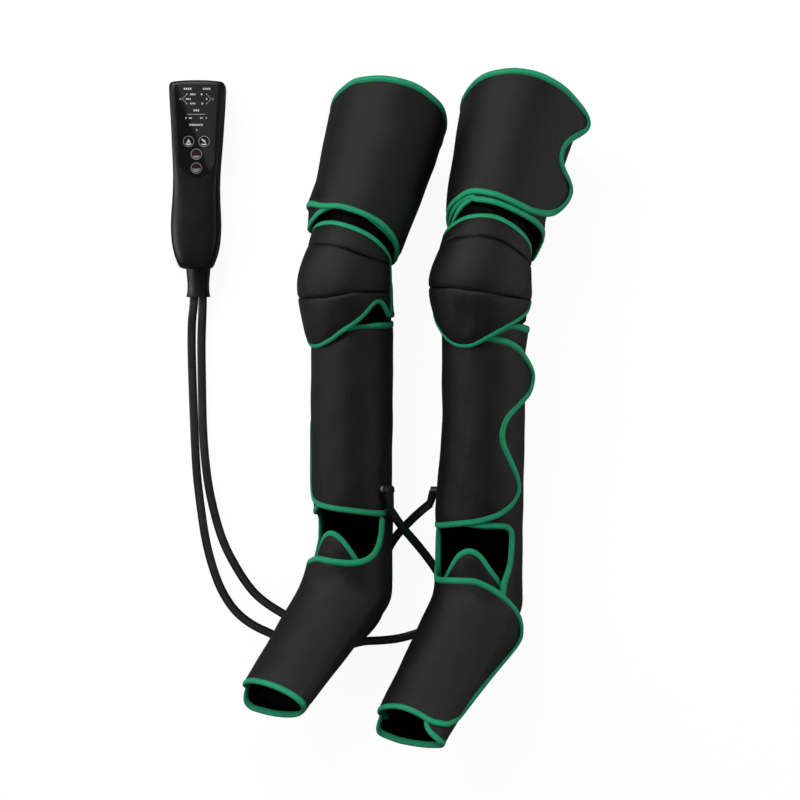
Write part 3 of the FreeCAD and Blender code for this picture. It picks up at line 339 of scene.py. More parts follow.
def add_mesh(name, points, faces, materials, uv=None, face_material=None):
    """Smooth shaded mesh object from points in metres; uv holds one pair for each point."""
    data = bpy.data.meshes.new(name)
    data.from_pydata([tuple(p) for p in points], [], [tuple(int(i) for i in f) for f in faces])
    for item in materials:
        data.materials.append(item)
    layer = data.uv_layers.new(name="cut")
    if uv is not None:
        corners = np.zeros(len(data.loops), np.int32)
        data.loops.foreach_get("vertex_index", corners)
        layer.data.foreach_set("uv", np.asarray(uv, np.float32)[corners].ravel())
    if face_material is not None:
        data.polygons.foreach_set("material_index", np.asarray(face_material, np.int32))
    shade_smooth(data)
    data.update()
    made = bpy.data.objects.new(name, data)
    bpy.context.scene.collection.objects.link(made)
    return made


def unit_rows(vectors):
    """Rows scaled to length 1."""
    return vectors / np.linalg.norm(vectors, axis=1)[:, None]


def full_turn(count):
    """Evenly spaced angles once round a circle."""
    return [2 * math.pi * k / count for k in range(count)]


def sweep_rings(rings, closed):
    """Quads that join rings of equal size one after another."""
    count, size = len(rings), len(rings[0])
    faces = []
    for i in range(count if closed else count - 1):
        a, b = i * size, ((i + 1) % count) * size
        faces += [(a + k, a + (k + 1) % size, b + (k + 1) % size, b + k) for k in range(size)]
    if not closed:
        faces.append(tuple(range(size))[::-1])
        faces.append(tuple((count - 1) * size + k for k in range(size)))
    return np.concatenate(rings), faces


# ---------------------------------------------------------------- air hoses

TUBE_RADIUS = 2.8
TUBE_APART = 2.6  # of each tube's middle from the middle of the pair
SET_SHIFT = (5.97, -3.65)  # brings the drawn set to the middle of the frame
LEFT_ROUTE = [
    (-222.7, 139.6, 14), (-222.7, 130, 14), (-223.5, 112, 12), (-225, 82, 7), (-224.5, 34, 4),
    (-223.5, -29, 4), (-219.2, -80, 4), (-213, -118, 4), (-199, -170, 4), (-178.5, -208.5, 4),
    (-160, -235, 4), (-141, -251, 4), (-119, -264, 4), (-96, -281, 4), (-70, -294, 4),
    (-43, -290, 4), (-26, -276, 4), (-10, -254, 4), (0, -229.5, 4), (5.5, -204.5, 4.5),
    (11, -183, 7), (21, -165, 14.5), (37, -147, 27), (53, -131, 41), (65, -121, 52)]
RIGHT_ROUTE = [
    (-233.7, 139.6, 14), (-233.7, 130, 14), (-236.5, 112, 12), (-237.5, 82, 7), (-236.5, 34, 4),
    (-234, -29, 4), (-231.6, -80, 4), (-227.3, -118, 4), (-220, -170, 4), (-209.5, -208.5, 4),
    (-199, -235, 4), (-182, -260.6, 4), (-159.5, -278, 4), (-135.8, -288.3, 4), (-108.6, -302.6, 4),
    (-74, -310, 4), (-45, -305.5, 4), (-20.8, -297.5, 4), (2.8, -297, 4), (26, -294.5, 4),
    (49, -288, 4), (72, -278, 4), (87, -260, 4), (88, -235, 4.5), (75, -208, 9.5), (57, -183, 23),
    (41, -163, 43), (27, -146, 66), (15.5, -127, 90)]


def route_line(name, route):
    """Centre line of a hose: the smooth spline whose control points are the route."""
    data = bpy.data.curves.new(name + "_line", "CURVE")
    data.dimensions = "3D"
    spline = data.splines.new("NURBS")
    spline.points.add(len(route) - 1)
    for point, (x, y, z) in zip(spline.points, route):
        point.co = ((x + SET_SHIFT[0]) * MM, (y + SET_SHIFT[1]) * MM, z * MM, 1)
    spline.order_u = 3
    spline.use_endpoint_u = True
    spline.resolution_u = 10
    line = bpy.data.objects.new(name + "_line", data)
    mesh = bpy.data.meshes.new_from_object(line)
    points = np.array([v.co for v in mesh.vertices])
    bpy.data.objects.remove(line)
    return points


def twin_profile(count=40):
    """Outline of two tubes moulded side by side: a flat oval, as rows of offset across and up."""
    return [(math.copysign(TUBE_APART, math.cos(a)) + TUBE_RADIUS * math.cos(a),
             TUBE_RADIUS * math.sin(a)) for a in full_turn(count)]


def hose(side, route):
    """Twin air hose from the gland to its plug, lying on the table."""
    points = route_line(side + "_hose", route)
    tangent = unit_rows(np.gradient(points, axis=0))
    across = unit_rows(np.cross(tangent, (0, 0, 1.0)))
    above = np.cross(across, tangent)
    profile = twin_profile()
    rings = [p + np.array([a * (x * MM) + n * (z * MM) for x, z in profile])
             for p, a, n in zip(points, across, above)]
    gaps = np.linalg.norm(np.diff(points, axis=0), axis=1)
    reach = np.r_[0, np.cumsum(gaps)]
    uv = [(s, k / len(profile)) for s in reach for k in range(len(profile))]
    verts, faces = sweep_rings(rings, False)
    made = add_mesh(side + "_hose_pair", verts, faces, [HOSE], uv)
    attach(made, "base")
    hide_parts(side + "_hose")


hose("left", LEFT_ROUTE)
hose("right", RIGHT_ROUTE)


# ---------------------------------------------------------------- shape of the legs

KNEE_LIFT = 22.0
CALF_RADIUS = 51.0
FLOOR_GAP = 0.3

# Height down the leg from the calf's end, then the front and back point (y, z) and the half width
BOOT = [(0, -284, 50, -284, -50, 50), (36, -320, 50, -320, -50, 50), (63, -345, 50, -350, -50, 50),
        (80, -357, 50.4, -372, -50, 50.4), (92, -365, 52, -387, -49.5, 50.9),
        (102, -372, 55, -398, -46, 51.4), (112, -380, 60.5, -407, -38.5, 51.8),
        (129, -392, 69.8, -419, -24.4, 52), (158, -412, 86.5, -438, 0, 51.8),
        (194, -436, 106.6, -463, 32, 51.5), (236, -462, 128.4, -494, 71.8, 51.1),
        (283, -491.9, 153.3, -529.3, 117.1, 50.5), (307, -510.5, 168.6, -544.3, 136.6, 50.2)]
CALF_END = -284
THIGH_RADIUS, THIGH_FLARE = 53.5, 0.0904  # at the knee, and its growth along the thigh
SHANK = [(h, h, CALF_RADIUS, h, -CALF_RADIUS, CALF_RADIUS) for h in (0, -90, -180, -250)]
SHANK += [(CALF_END - along, *row) for along, *row in BOOT]


def turn_about(axis, degrees):
    """Matrix that turns rows about an axis of unit length."""
    a = math.radians(degrees)
    c, s = math.cos(a), math.sin(a)
    x, y, z = axis
    return np.array(((c + x * x * (1 - c), x * y * (1 - c) - z * s, x * z * (1 - c) + y * s),
                     (y * x * (1 - c) + z * s, c + y * y * (1 - c), y * z * (1 - c) - x * s),
                     (z * x * (1 - c) - y * s, z * y * (1 - c) + x * s, c + z * z * (1 - c))))


def through(stations, at):
    """Smooth curve through rows of (position, value, value, ...), read at any positions."""
    rows = np.array(sorted(stations), float)
    xs, ys = rows[:, 0], rows[:, 1:]
    slope = np.gradient(ys, xs, axis=0)
    at = np.clip(np.asarray(at, float), xs[0], xs[-1])
    i = np.clip(np.searchsorted(xs, at, side="right") - 1, 0, len(xs) - 2)
    gap = (xs[i + 1] - xs[i])[..., None]
    t = (at - xs[i])[..., None] / gap
    return ((2 * t ** 3 - 3 * t ** 2 + 1) * ys[i] + (t ** 3 - 2 * t ** 2 + t) * gap * slope[i]
            + (-2 * t ** 3 + 3 * t ** 2) * ys[i + 1] + (t ** 3 - t ** 2) * gap * slope[i + 1])


def swell(value, start, end):
    """0 before start, 1 after end, and smooth between them."""
    t = np.clip((value - start) / (end - start), 0, 1)
    return t * t * (3 - 2 * t)


SLIM_DEPTH, SLIM_HEIGHT, SLIM_REACH = 7.0, 44, 34


class Leg:
    """Reads points on one leg.

    u is degrees round it from the front to the outer side, h mm along it and d mm out of it.
    outer is -1 where the outer side lies to the left, and full is the leg's scale."""

    def __init__(self, side, outer, full, knee, turn, pitch, roll, bend, slim_at, slack):
        self.side, self.outer, self.full, self.bend = side, outer, full, bend
        self.slim_at, self.slack = slim_at, slack
        spin = turn_about((0, 0, 1), roll) @ turn_about((1, 0, 0), pitch)
        self.turned = spin @ turn_about((0, 1, 0), turn)
        self.knee = np.array(knee) + np.array((*SET_SHIFT, 0))

    def place(self, centre, front, wide, deep, u):
        """Point of an oval section, moved with the leg to where it lies on the floor."""
        a = np.radians(u)
        out = np.array((self.outer, 0.0, 0.0))
        local = centre + (np.sin(a) * wide)[..., None] * out + (np.cos(a) * deep)[..., None] * front
        spots = local @ self.turned.T + self.knee
        spots[..., 2] = np.maximum(spots[..., 2], FLOOR_GAP)
        return spots * MM

    def fullness(self, part, u, h):
        """How far the slack cloth stands off the limb: at some sides, and more at some heights."""
        extra = 0.0 * u
        for facing, rows in self.slack[part]:
            heights, widths = zip(*rows)
            share = np.clip(np.cos(np.radians(u - facing)), 0, 1) ** 2
            extra = extra + share * np.interp(h, heights, widths)
        return extra

    def slim(self, u, h):
        """Drawn-in side just above the knee."""
        facing = np.clip(np.cos(np.radians(u - self.slim_at)), 0, 1)
        return -SLIM_DEPTH * facing ** 2 * np.exp(-((h - SLIM_HEIGHT) / SLIM_REACH) ** 2)

    def thigh(self, u, h, d):
        """Round thigh that leans down from the knee and widens as it goes."""
        lean = math.radians(self.bend)
        axis = np.array((0, math.cos(lean), -math.sin(lean)))
        front = np.array((0, math.sin(lean), math.cos(lean)))
        u, h, d = np.broadcast_arrays(u, h, d)
        r = self.full * (THIGH_RADIUS + THIGH_FLARE * h) + d + self.slim(u, h)
        r = r + self.fullness("thigh", u, h)
        centre = np.array((0, 0, KNEE_LIFT)) + (h * self.full)[..., None] * axis
        return self.place(centre, front, r, r, u)

    def bent(self, u, h, d):
        """Over the knee: h runs from the calf, below 0, to the thigh, above 0."""
        u, h, d = np.broadcast_arrays(u, h, d)
        k, lean = self.full, math.radians(self.bend)

        def thigh_axis(along):
            return along * k * math.cos(lean), KNEE_LIFT - along * k * math.sin(lean)

        # Height, middle (y, z), half width, half depth and tilt
        rows = [(84, *thigh_axis(84), 56.5 * k, 55.5 * k, lean),
                (42, *thigh_axis(42), 59.5 * k, 59.5 * k, lean),
                (0, 0, 10 * k, 63 * k, 63.5 * k, lean / 2),
                (-36, -36 * k, 5 * k, 59.5 * k, 61 * k, 0.0),
                (-84, -84 * k, 0, 54.3 * k, 54.3 * k, 0)]
        y, z, wide, deep, tilt = np.moveaxis(through(rows, h), -1, 0)
        d = d + self.slim(u, h)
        centre = np.stack((0 * y, y, z), -1)
        front = np.stack((0 * y, np.sin(tilt), np.cos(tilt)), -1)
        return self.place(centre, front, wide + d, deep + d, u)

    def shank(self, u, h, d):
        """Calf, ankle, heel and foot in one run, down to the toes."""
        u, h, d = np.broadcast_arrays(u, h, d)
        d = d + self.fullness("shank", u, h)
        fy, fz, by, bz, wide = np.moveaxis(through(SHANK, h), -1, 0) * self.full
        top = np.stack((0 * fy, fy, fz), -1)
        low = np.stack((0 * fy, by, bz), -1)
        half = (top - low) / 2
        deep = np.linalg.norm(half, axis=-1)
        return self.place((top + low) / 2, half / deep[..., None], wide + d, deep + d, u)


# Slack of the cloth: the side it faces, and rows of (height, extra radius)
RIGHT_SLACK = {
    "thigh": [(-134, [(40, 3), (60, 5), (100, 6), (180, 5.5), (215, 3.5), (250, 0.5)]),
              (46, [(60, 9), (85, 8), (100, 4), (120, 1), (240, 0)])],
    "shank": [(-134, [(-570, 1.5), (-480, 2), (-440, 3), (-400, 6), (-290, 6), (-250, 4),
                      (-50, 3.5)]),
              (52, [(-570, 6), (-450, 8), (-380, 9), (-362, 7), (-345, 4), (-320, 0)])]}
LEFT_SLACK = {
    "thigh": [(-54, [(60, -4), (240, -4)]), (126, [(40, 10), (75, 10), (100, 4), (240, 4)])],
    "shank": [(-54, [(-570, 10), (-450, 9), (-380, 10), (-270, 9), (-240, 5), (-200, 2),
                     (-160, 0)]),
              (126, [(-570, -3), (-450, -1.5), (-390, 0), (-80, 1), (-60, 4.5), (-44, 6.5)])]}
RIGHT = Leg("right", outer=-1, full=1.0, knee=(-31.6, 150.6, 82.82), turn=-44.0, pitch=5.165,
            roll=-0.5, bend=22.0, slim_at=46, slack=RIGHT_SLACK)
LEFT = Leg("left", outer=1, full=1.035, knee=(132.2, 150.1, 98.73), turn=-36.0, pitch=7.02,
           roll=0.0, bend=24.0, slim_at=-54, slack=LEFT_SLACK)


# ---------------------------------------------------------------- sewn panels

CLOTH = 3.0
HEM = 2.2  # thickness of the pressed edge under the ribbon
HEM_REACH = 12
STEP, ROW_STEP, EDGE_STEP = 5.0, 4.35, 2.5  # of a panel's points, inside and along its edge
CLEAR, SEAM_CLEAR = 2.5, 2.0
ROUNDING = 12  # passes that round the corners of a cut
SEAM_OFFSETS = (-4.2, -2.2, -1.0, 0.0, 1.0, 2.2, 4.2)


def even_points(points, spacing):
    """Points of a broken line at even spacing, without its last one."""
    points = np.array(points, float)
    at = np.r_[0, np.cumsum(np.linalg.norm(np.diff(points, axis=0), axis=1))]
    steps = np.linspace(0, at[-1], max(2, round(at[-1] / spacing)), endpoint=False)
    return np.stack([np.interp(steps, at, points[:, k]) for k in (0, 1)], -1)


def cut_line(free, sewn):
    """Rounded outline of a panel: its free edge, then the edge sewn to a neighbour."""
    if len(sewn):
        first = even_points([*free, sewn[0]], EDGE_STEP)
        loop = np.concatenate((first, even_points([*sewn, free[0]], EDGE_STEP)))
    else:
        first = loop = even_points([*free, free[0]], EDGE_STEP)
    for _ in range(ROUNDING):
        loop = loop / 2 + (np.roll(loop, 1, axis=0) + np.roll(loop, -1, axis=0)) / 4
    return loop, len(first)


def from_line(points, starts, ends):
    """Distance of each point from the nearest of some straight runs."""
    run = ends - starts
    share = ((points[:, None] - starts) * run).sum(-1) / np.maximum((run ** 2).sum(-1), 1e-9)
    nearest = starts + np.clip(share, 0, 1)[..., None] * run
    return np.linalg.norm(points[:, None] - nearest, axis=-1).min(1)


def within(points, loop):
    """Which of the points lie inside a closed outline."""
    start, end = loop, np.roll(loop, -1, axis=0)
    x, y = points[:, None, 0], points[:, None, 1]
    crossing = (start[:, 1] > y) != (end[:, 1] > y)
    rise = np.where(end[:, 1] == start[:, 1], 1e-9, end[:, 1] - start[:, 1])
    at = start[:, 0] + (y - start[:, 1]) * (end[:, 0] - start[:, 0]) / rise
    return (crossing & (x < at)).sum(1) % 2 == 1


def seam_points(loop, seams):
    """Close rows of points on both sides of each seam, clear of the outline."""
    rows = []
    for seam in seams:
        line = even_points(seam, EDGE_STEP)
        ahead = np.gradient(line, axis=0)
        aside = unit_rows(np.stack((-ahead[:, 1], ahead[:, 0]), -1))
        rows += [line + aside * offset for offset in SEAM_OFFSETS]
    rows = np.concatenate(rows)
    rows = rows[within(rows, loop)]
    return rows[from_line(rows, loop, np.roll(loop, -1, axis=0)) > SEAM_CLEAR]


def flat_mesh(loop, seams=()):
    """Points and triangles that fill an outline evenly, and closely along its seams."""
    low, high = loop.min(0), loop.max(0)
    rows = np.arange(low[1], high[1], ROW_STEP)
    grid = np.array([(x + (i % 2) * STEP / 2, y) for i, y in enumerate(rows)
                     for x in np.arange(low[0], high[0], STEP)])
    grid = grid[within(grid, loop)]
    grid = grid[from_line(grid, loop, np.roll(loop, -1, axis=0)) > CLEAR]
    for seam in seams:
        grid = grid[from_line(grid, seam[:-1], seam[1:]) > SEAM_OFFSETS[-1] + CLEAR]
    if len(seams):
        grid = np.concatenate((grid, seam_points(loop, seams)))
    flat = [Vector(p) for p in np.concatenate((loop, grid))]
    outline = list(range(len(loop)))
    points, _, faces, *_ = geometry.delaunay_2d_cdt(flat, [], [outline], 1, 1e-4)
    return np.array([tuple(p) for p in points]), [tuple(f) for f in faces]


# Size of each wave, waves round the leg, reach along it and start
RIPPLES = [(0.32, 3, 31, 0.0), (0.26, 7, -17, 1.3), (0.2, 5, 9.5, 0.0)]


def ripple(u, h):
    """Slow unevenness of stretched cloth."""
    a = np.radians(u)
    return sum(size * np.sin(turns * a + h / reach + start)
               for size, turns, reach, start in RIPPLES)


def positions(mesh):
    """Places of a mesh's points as rows."""
    spots = np.zeros(len(mesh.vertices) * 3)
    mesh.vertices.foreach_get("co", spots)
    return spots.reshape(-1, 3)


PRESSURE = 4.0
SWELL_CAP = 5.0
SWELL_FRAMES = 20


def inflate(piece, held):
    """Swells a pad by a short cloth simulation; held points stay where they are."""
    scene = bpy.context.scene
    start = positions(piece.data)
    group_of_held = piece.vertex_groups.new(name="held")
    group_of_held.add([int(i) for i in np.flatnonzero(held)], 1.0, "REPLACE")
    cloth = piece.modifiers.new("swell", "CLOTH")
    cloth.settings.vertex_group_mass = "held"
    cloth.settings.use_pressure = True
    cloth.settings.uniform_pressure_force = PRESSURE
    cloth.settings.effector_weights.gravity = 0
    for frame_number in range(1, SWELL_FRAMES + 1):
        scene.frame_set(frame_number)
    moved = positions(piece.evaluated_get(bpy.context.evaluated_depsgraph_get()).data) - start
    piece.modifiers.remove(cloth)
    piece.vertex_groups.remove(group_of_held)
    scene.frame_set(1)
    far = np.linalg.norm(moved, axis=1)
    share = np.minimum(1.0, SWELL_CAP * MM / np.maximum(far, 1e-9))
    piece.data.vertices.foreach_set("co", (start + moved * share[:, None]).ravel())
    piece.data.update()


RIBBON_WIDTH = 8.7
RIBBON_STANDS = 1.35  # how far the folded ribbon stands over the hem
RIBBON_SET_BACK = 1.2
RIBBON_SIDES = 14
RIBBON_SQUARE = 0.15
HINGE_REACH = 9  # degrees on each side of a flap's hinge to the two ends of the hinge line


class Panel:
    """Padded cloth panel on a leg's surface with green binding along its free edge.

    free and sewn are runs of (u, h): the bound edge, and the edge that runs under a neighbour."""

    def __init__(self, name, leg, surface, radius, free, sewn=(), lift=-CLOTH, relief=None,
                 thick=CLOTH, fabric=NYLON, bound=True, slot="wrap_fabric", replaces=(), seams=()):
        self.name, self.leg, self.surface, self.radius = name, leg, surface, radius
        self.seams = seams
        self.relief = relief or (lambda u, h: 0 * u)
        self.lift, self.thick = lift, thick
        self.loop, self.free_count = cut_line(self.metric(free), self.metric(sewn))
        self.body = self.make_body(fabric)
        self.pieces = [self.body]
        if replaces:
            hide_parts(*replaces)
        if bound:
            self.pieces.append(self.make_binding(len(sewn) == 0))

    def metric(self, line):
        """Run of (u, h) as millimetres of cloth."""
        return [(math.radians(u) * self.radius, h) for u, h in line]

    def at(self, flat, d):
        """Places of points of the flat cloth, d mm above its lining."""
        u, h = np.degrees(flat[:, 0] / self.radius), flat[:, 1]
        return self.surface(u, h, self.lift + d + self.relief(u, h))

    def make_body(self, fabric):
        """Outer cloth, lining and edge of the panel as one closed mesh."""
        flat, faces = flat_mesh(self.loop, self.seams)
        self.flat = flat
        free = self.loop[:self.free_count + 1]
        inward = from_line(flat, free[:-1], free[1:])
        u = np.degrees(flat[:, 0] / self.radius)
        full = HEM + (self.thick - HEM) * swell(inward, 0, HEM_REACH)
        full = full + ripple(u, flat[:, 1]) * swell(inward, 2, HEM_REACH + 4)
        outer, inner = self.at(flat, full), self.at(flat, 0.0)
        count = len(flat)
        edges = {}
        for face in faces:
            for a, b in zip(face, face[1:] + face[:1]):
                if edges.pop((b, a), None) is None:
                    edges[(a, b)] = True
        sides = [(b, a, a + count, b + count) for a, b in edges]
        back = [tuple(i + count for i in face[::-1]) for face in faces]
        every = [*faces, *back, *sides]
        if self.leg.outer > 0:
            every = [face[::-1] for face in every]
        lining = [0] * len(faces) + [1] * len(back) + [0] * len(sides)
        uv = np.concatenate((flat, flat)) * MM
        points = np.concatenate((outer, inner))
        return add_mesh(self.name, points, every, [fabric, LINING], uv, lining)

    def make_binding(self, closed):
        """Folded ribbon over the edge: a flattened tube that follows the outline."""
        turning = np.cross(self.loop, np.roll(self.loop, -1, axis=0)).sum()
        ahead = np.roll(self.loop, -1, axis=0) - np.roll(self.loop, 1, axis=0)
        inward = unit_rows(np.stack((-ahead[:, 1], ahead[:, 0]), -1) * np.sign(turning))
        count = len(self.loop) if closed else self.free_count
        line, inward = self.loop[:count], inward[:count]
        middle = HEM / 2
        base = self.at(line, middle)
        normal = unit_rows(self.at(line, middle + 1) - base)
        side = self.at(line + inward, middle) - base
        side = unit_rows(side - (side * normal).sum(1)[:, None] * normal)
        reach = np.r_[0, np.cumsum(np.linalg.norm(np.diff(base, axis=0), axis=1))]
        profile = []
        for a in full_turn(RIBBON_SIDES):
            across = math.cos(a) * abs(math.cos(a)) ** -RIBBON_SQUARE * RIBBON_WIDTH / 2
            profile.append((across + RIBBON_WIDTH / 2 - RIBBON_SET_BACK,
                            math.sin(a) * (HEM / 2 + RIBBON_STANDS)))
        rings = [base[i] + np.array([side[i] * across * MM + normal[i] * out * MM
                                     for across, out in profile]) for i in range(count)]
        uv = [(reach[i], k / RIBBON_SIDES) for i in range(count) for k in range(RIBBON_SIDES)]
        verts, faces = sweep_rings(rings, closed)
        made = add_mesh(self.name + "_binding", verts, faces, [BINDING], uv)
        return made

    def point(self, u, h):
        """Place of one point of the lining."""
        return self.at(np.array([(math.radians(u) * self.radius, h)]), 0.0)[0]

    def hinge(self, flap, u, h):
        """Bakes each piece's placement into its points and finds the two ends of the hinge line;
        nothing bends.
        """
        start, end = self.point(u - HINGE_REACH, h), self.point(u + HINGE_REACH, h)
        for piece in self.pieces:
            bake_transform(piece)
            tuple(start)
            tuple(end)

    def ride(self):
        """Fixes the cloth and its ribbon to the set."""
        for piece in self.pieces:
            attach(piece, "base")


def rim(values, start, end, step=8):
    """Edge of a slanted cut: values are its height and its rise to the front and outer side."""
    height, front, side = values
    count = max(2, int(abs(end - start) / step) + 1)
    angles = np.linspace(start, end, count)
    return [(u, height + front * math.cos(math.radians(u)) + side * math.sin(math.radians(u)))
            for u in angles]


TUCK_DEPTH = 4.3
TUCK_FROM, TUCK_TO = 46, 2  # degrees from the sewn edge
STRAIGHT_FOR = 60
FLAP_OUT = 4


def tuck(sewn_at, leaves, radius):
    """Relief of a flap: it sinks into the sleeve near its sewn edge, and past an angle it leaves
    the leg straight on, as stiff cloth does at a free edge."""
    def relief(u, h):
        d = -TUCK_DEPTH * swell(-u, -(sewn_at + TUCK_FROM), -(sewn_at + TUCK_TO))
        if leaves:
            over = np.radians(np.clip(u - leaves, 0, STRAIGHT_FOR))
            d = d + radius * (1 / np.cos(over) - 1)
        return d
    return relief


# Radii that turn degrees into millimetres of cloth, and how deep the sleeves lie under the flaps
THIGH_R, KNEE_R, SHANK_R = 68.0, 60.0, 51.0
SLEEVE_LIFT = -6.35


def flap(leg, part, surface, radius, free, sewn_at, hinge, leaves=None):
    """Closing flap of a wrap: its cloth runs on past its hinge (u, h) and into the sleeve."""
    name = leg.side + "_" + part
    sewn = [(sewn_at, free[-1][1]), (sewn_at, free[0][1])]
    piece = Panel(name + "_front", leg, surface, radius, free, sewn,
                  relief=tuck(sewn_at, leaves, radius + FLAP_OUT), replaces=[name + "_flap"])
    piece.hinge(name + "_flap", *hinge)


def right_thigh():
    """Thigh wrap with its flap, whose lower corner steps in above the knee."""
    top = [(70, 208), (46, 222), (34, 228), (25, 231), (11, 238), (1, 245), (-14, 248), (-27, 252),
           (-42, 254), (-56, 255), (-69, 254), (-82, 250), (-97, 247), (-107, 242), (-115, 235),
           (-148, 222)][::-1]
    free = [*top, (96, 190), (112, 176), (116, 162), (110, 148), (100, 132), (104, 112), (112, 98),
            (104, 82), (60, 86), (43, 85), (26, 83), (4, 79), (-19, 82), (-48, 80), (-73, 76),
            (-99, 65), (-116, 53), (-148, 46)]
    flap(RIGHT, "thigh", RIGHT.thigh, THIGH_R, free, -150, (-60, 160))
    under = rim((212, 23, -31), -28, 308) + rim((65, 20, -3), 308, 90)
    under += [(60, 60), (46, 58), (38, 59), (28, 63), (18, 68), (10, 73), (0, 78), (-10, 82),
              (-20, 85), (-34, 88)]
    Panel("right_thigh_wrap", RIGHT, RIGHT.thigh, THIGH_R, under, lift=SLEEVE_LIFT,
          replaces=["right_thigh_sleeve"]).ride()


def left_thigh():
    """Thigh wrap with its scalloped flap and the edging that shows below it."""
    free = [(-98, 200), (-70, 212), (-33, 229), (-18, 238), (-4, 244), (9, 247), (22, 251),
            (33, 252), (46, 253), (59, 251), (75, 248), (90, 243), (102, 238), (110, 233),
            (113, 226), (114, 219), (111, 210), (102, 196), (96, 186), (95, 175), (98, 165),
            (106, 157), (113, 151), (117, 144), (118, 134), (117, 123), (113, 110), (108, 101),
            (101, 97), (89, 93), (76, 91), (58, 93), (36, 96), (22, 96), (9, 97), (-3, 94),
            (-12, 89), (-40, 80), (-70, 66), (-98, 56)]
    flap(LEFT, "thigh", LEFT.thigh, THIGH_R, free, -100, (-24, 160), 80)
    under = rim((225, 9, 21), 4, 336) + rim((67, 20, 4), 334, 140)
    under += [(126, 79), (100, 82), (66, 85), (38, 88), (18, 88), (4, 87)]
    Panel("left_thigh_wrap", LEFT, LEFT.thigh, THIGH_R, under, lift=SLEEVE_LIFT,
          replaces=["left_thigh_sleeve"]).ride()
    edging = [(-70, 50), (-45, 56), (-25, 67), (-12, 77), (-3, 84), (8, 88), (8, 96), (-8, 95),
              (-30, 82), (-70, 62)]
    Panel("left_thigh_edging", LEFT, LEFT.thigh, THIGH_R, edging, lift=SLEEVE_LIFT - 0.3).ride()


right_thigh()
left_thigh()


def cuff_inset(u, h):
    """How far the stretch cuff lies under the pad's surface, from the calf to the thigh."""
    return -np.interp(h, [-84, -54, -48, -43, -36, 0, 42, 84], [10.8, 15.5, 13, 7.5, 7, 8, 9, 5.5])


def stretch_cuff(leg):
    """Ribbed cuff that joins thigh and calf under the knee pad."""
    edge = rim((80, 10, 0), 180, -178) + rim((-64, 0, 0), -178, 180)
    Panel(leg.side + "_knee_stretch", leg, leg.bent, KNEE_R, edge, lift=-2.0, thick=1.8,
          relief=cuff_inset, fabric=STRETCH, bound=False, replaces=[leg.side + "_knee_cuff"]).ride()


SEAM_HELD, EDGE_HELD = 2.4, 6.0
THREAD, THREAD_SIDES = 0.45, 8
SEAM_DEPTH, SEAM_WIDTH = 1.5, 1.3
PUCKER_DEPTH, PUCKER_WIDTH = 0.5, 4.5
SHORT_PUCKER, LONG_PUCKER = 1.9, 5.3


def seam_thread(pad, line, number):
    """Dark stitched line that lies in the groove of a seam."""
    flat = even_points(line, EDGE_STEP)
    flat = flat[within(flat, pad.loop)]
    middle = pad.at(flat, pad.thick)
    out = unit_rows(pad.at(flat, pad.thick + 1) - middle)
    side = unit_rows(np.cross(unit_rows(np.gradient(middle, axis=0)), out))
    rings = [m + np.array([s * (2 * math.cos(a) * THREAD * MM) + o * (math.sin(a) * THREAD * MM)
                           for a in full_turn(THREAD_SIDES)])
             for m, s, o in zip(middle, side, out)]
    verts, faces = sweep_rings(rings, False)
    made = add_mesh("%s_seam_%d" % (pad.name, number), verts, faces, [STRETCH])
    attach(made, "base")


def knee_pad(leg, outline, seams):
    """Crowned knee pad with its cross seams, swelled between them."""
    lines = [np.array([(math.radians(a) * KNEE_R, b) for a, b in seam]) for seam in seams]

    def relief(u, h):
        flat = np.stack((np.radians(u) * KNEE_R, h), -1)
        d = 0 * u
        for line in lines:
            away = from_line(flat, line[:-1], line[1:])
            pucker = 1 + 0.5 * np.sin(flat[:, 0] / SHORT_PUCKER) * np.sin(flat[:, 0] / LONG_PUCKER)
            d = (d - SEAM_DEPTH * np.exp(-(away / SEAM_WIDTH) ** 2)
                 - PUCKER_DEPTH * pucker * np.exp(-(away / PUCKER_WIDTH) ** 2))
        return d

    pad = Panel(leg.side + "_knee_cushion", leg, leg.bent, KNEE_R, outline, lift=-4.6, thick=4.2,
                relief=relief, fabric=PAD_NYLON, slot="pad_fabric",
                replaces=[leg.side + "_knee_pad"], seams=lines)
    held = from_line(pad.flat, pad.loop, np.roll(pad.loop, -1, axis=0)) < EDGE_HELD
    for line in lines:
        held |= from_line(pad.flat, line[:-1], line[1:]) < SEAM_HELD
    lining = np.ones(len(pad.flat), bool)
    inflate(pad.body, np.concatenate((held, lining)))
    for number, line in enumerate(lines):
        seam_thread(pad, line, number)
    pad.ride()


stretch_cuff(RIGHT)
stretch_cuff(LEFT)
RIGHT_PAD = [
    (60, 58), (40, 62), (13, 64), (-15, 66), (-44, 64), (-69, 61), (-94, 54), (-114, 46),
    (-116, 30), (-112, 10), (-111, -13), (-110, -34), (-104, -40), (-97, -30), (-91, -20),
    (-85, -16), (-77, -22), (-68, -32), (-54, -43), (-36, -53), (-19, -65), (3, -74), (24, -75),
    (45, -68), (70, -50), (95, -36), (118, -25), (124, 0), (122, 30), (110, 48), (85, 55)]
LEFT_PAD = [
    (-112, 40), (-85, 45), (-60, 50), (-36, 56), (-18, 60), (-6, 66), (14, 72), (37, 76), (60, 73),
    (96, 65), (120, 58), (127, 48), (129, 24), (126, 0), (118, -18), (105, -30), (94, -34),
    (84, -38), (58, -48), (36, -59), (19, -68), (-3, -68), (-20, -60), (-37, -46), (-60, -32),
    (-95, -22), (-112, -8)]
knee_pad(RIGHT, RIGHT_PAD, [
    [(112, 32), (60, 36), (21, 37), (4, 36), (-21, 36), (-32, 35), (-46, 34), (-58, 33), (-71, 33),
     (-86, 34), (-112, 36)],
    [(118, -10), (80, -17), (28, -19), (0, -18), (-19, -17), (-35, -14), (-50, -11), (-69, -8),
     (-92, -5), (-111, -4)]])
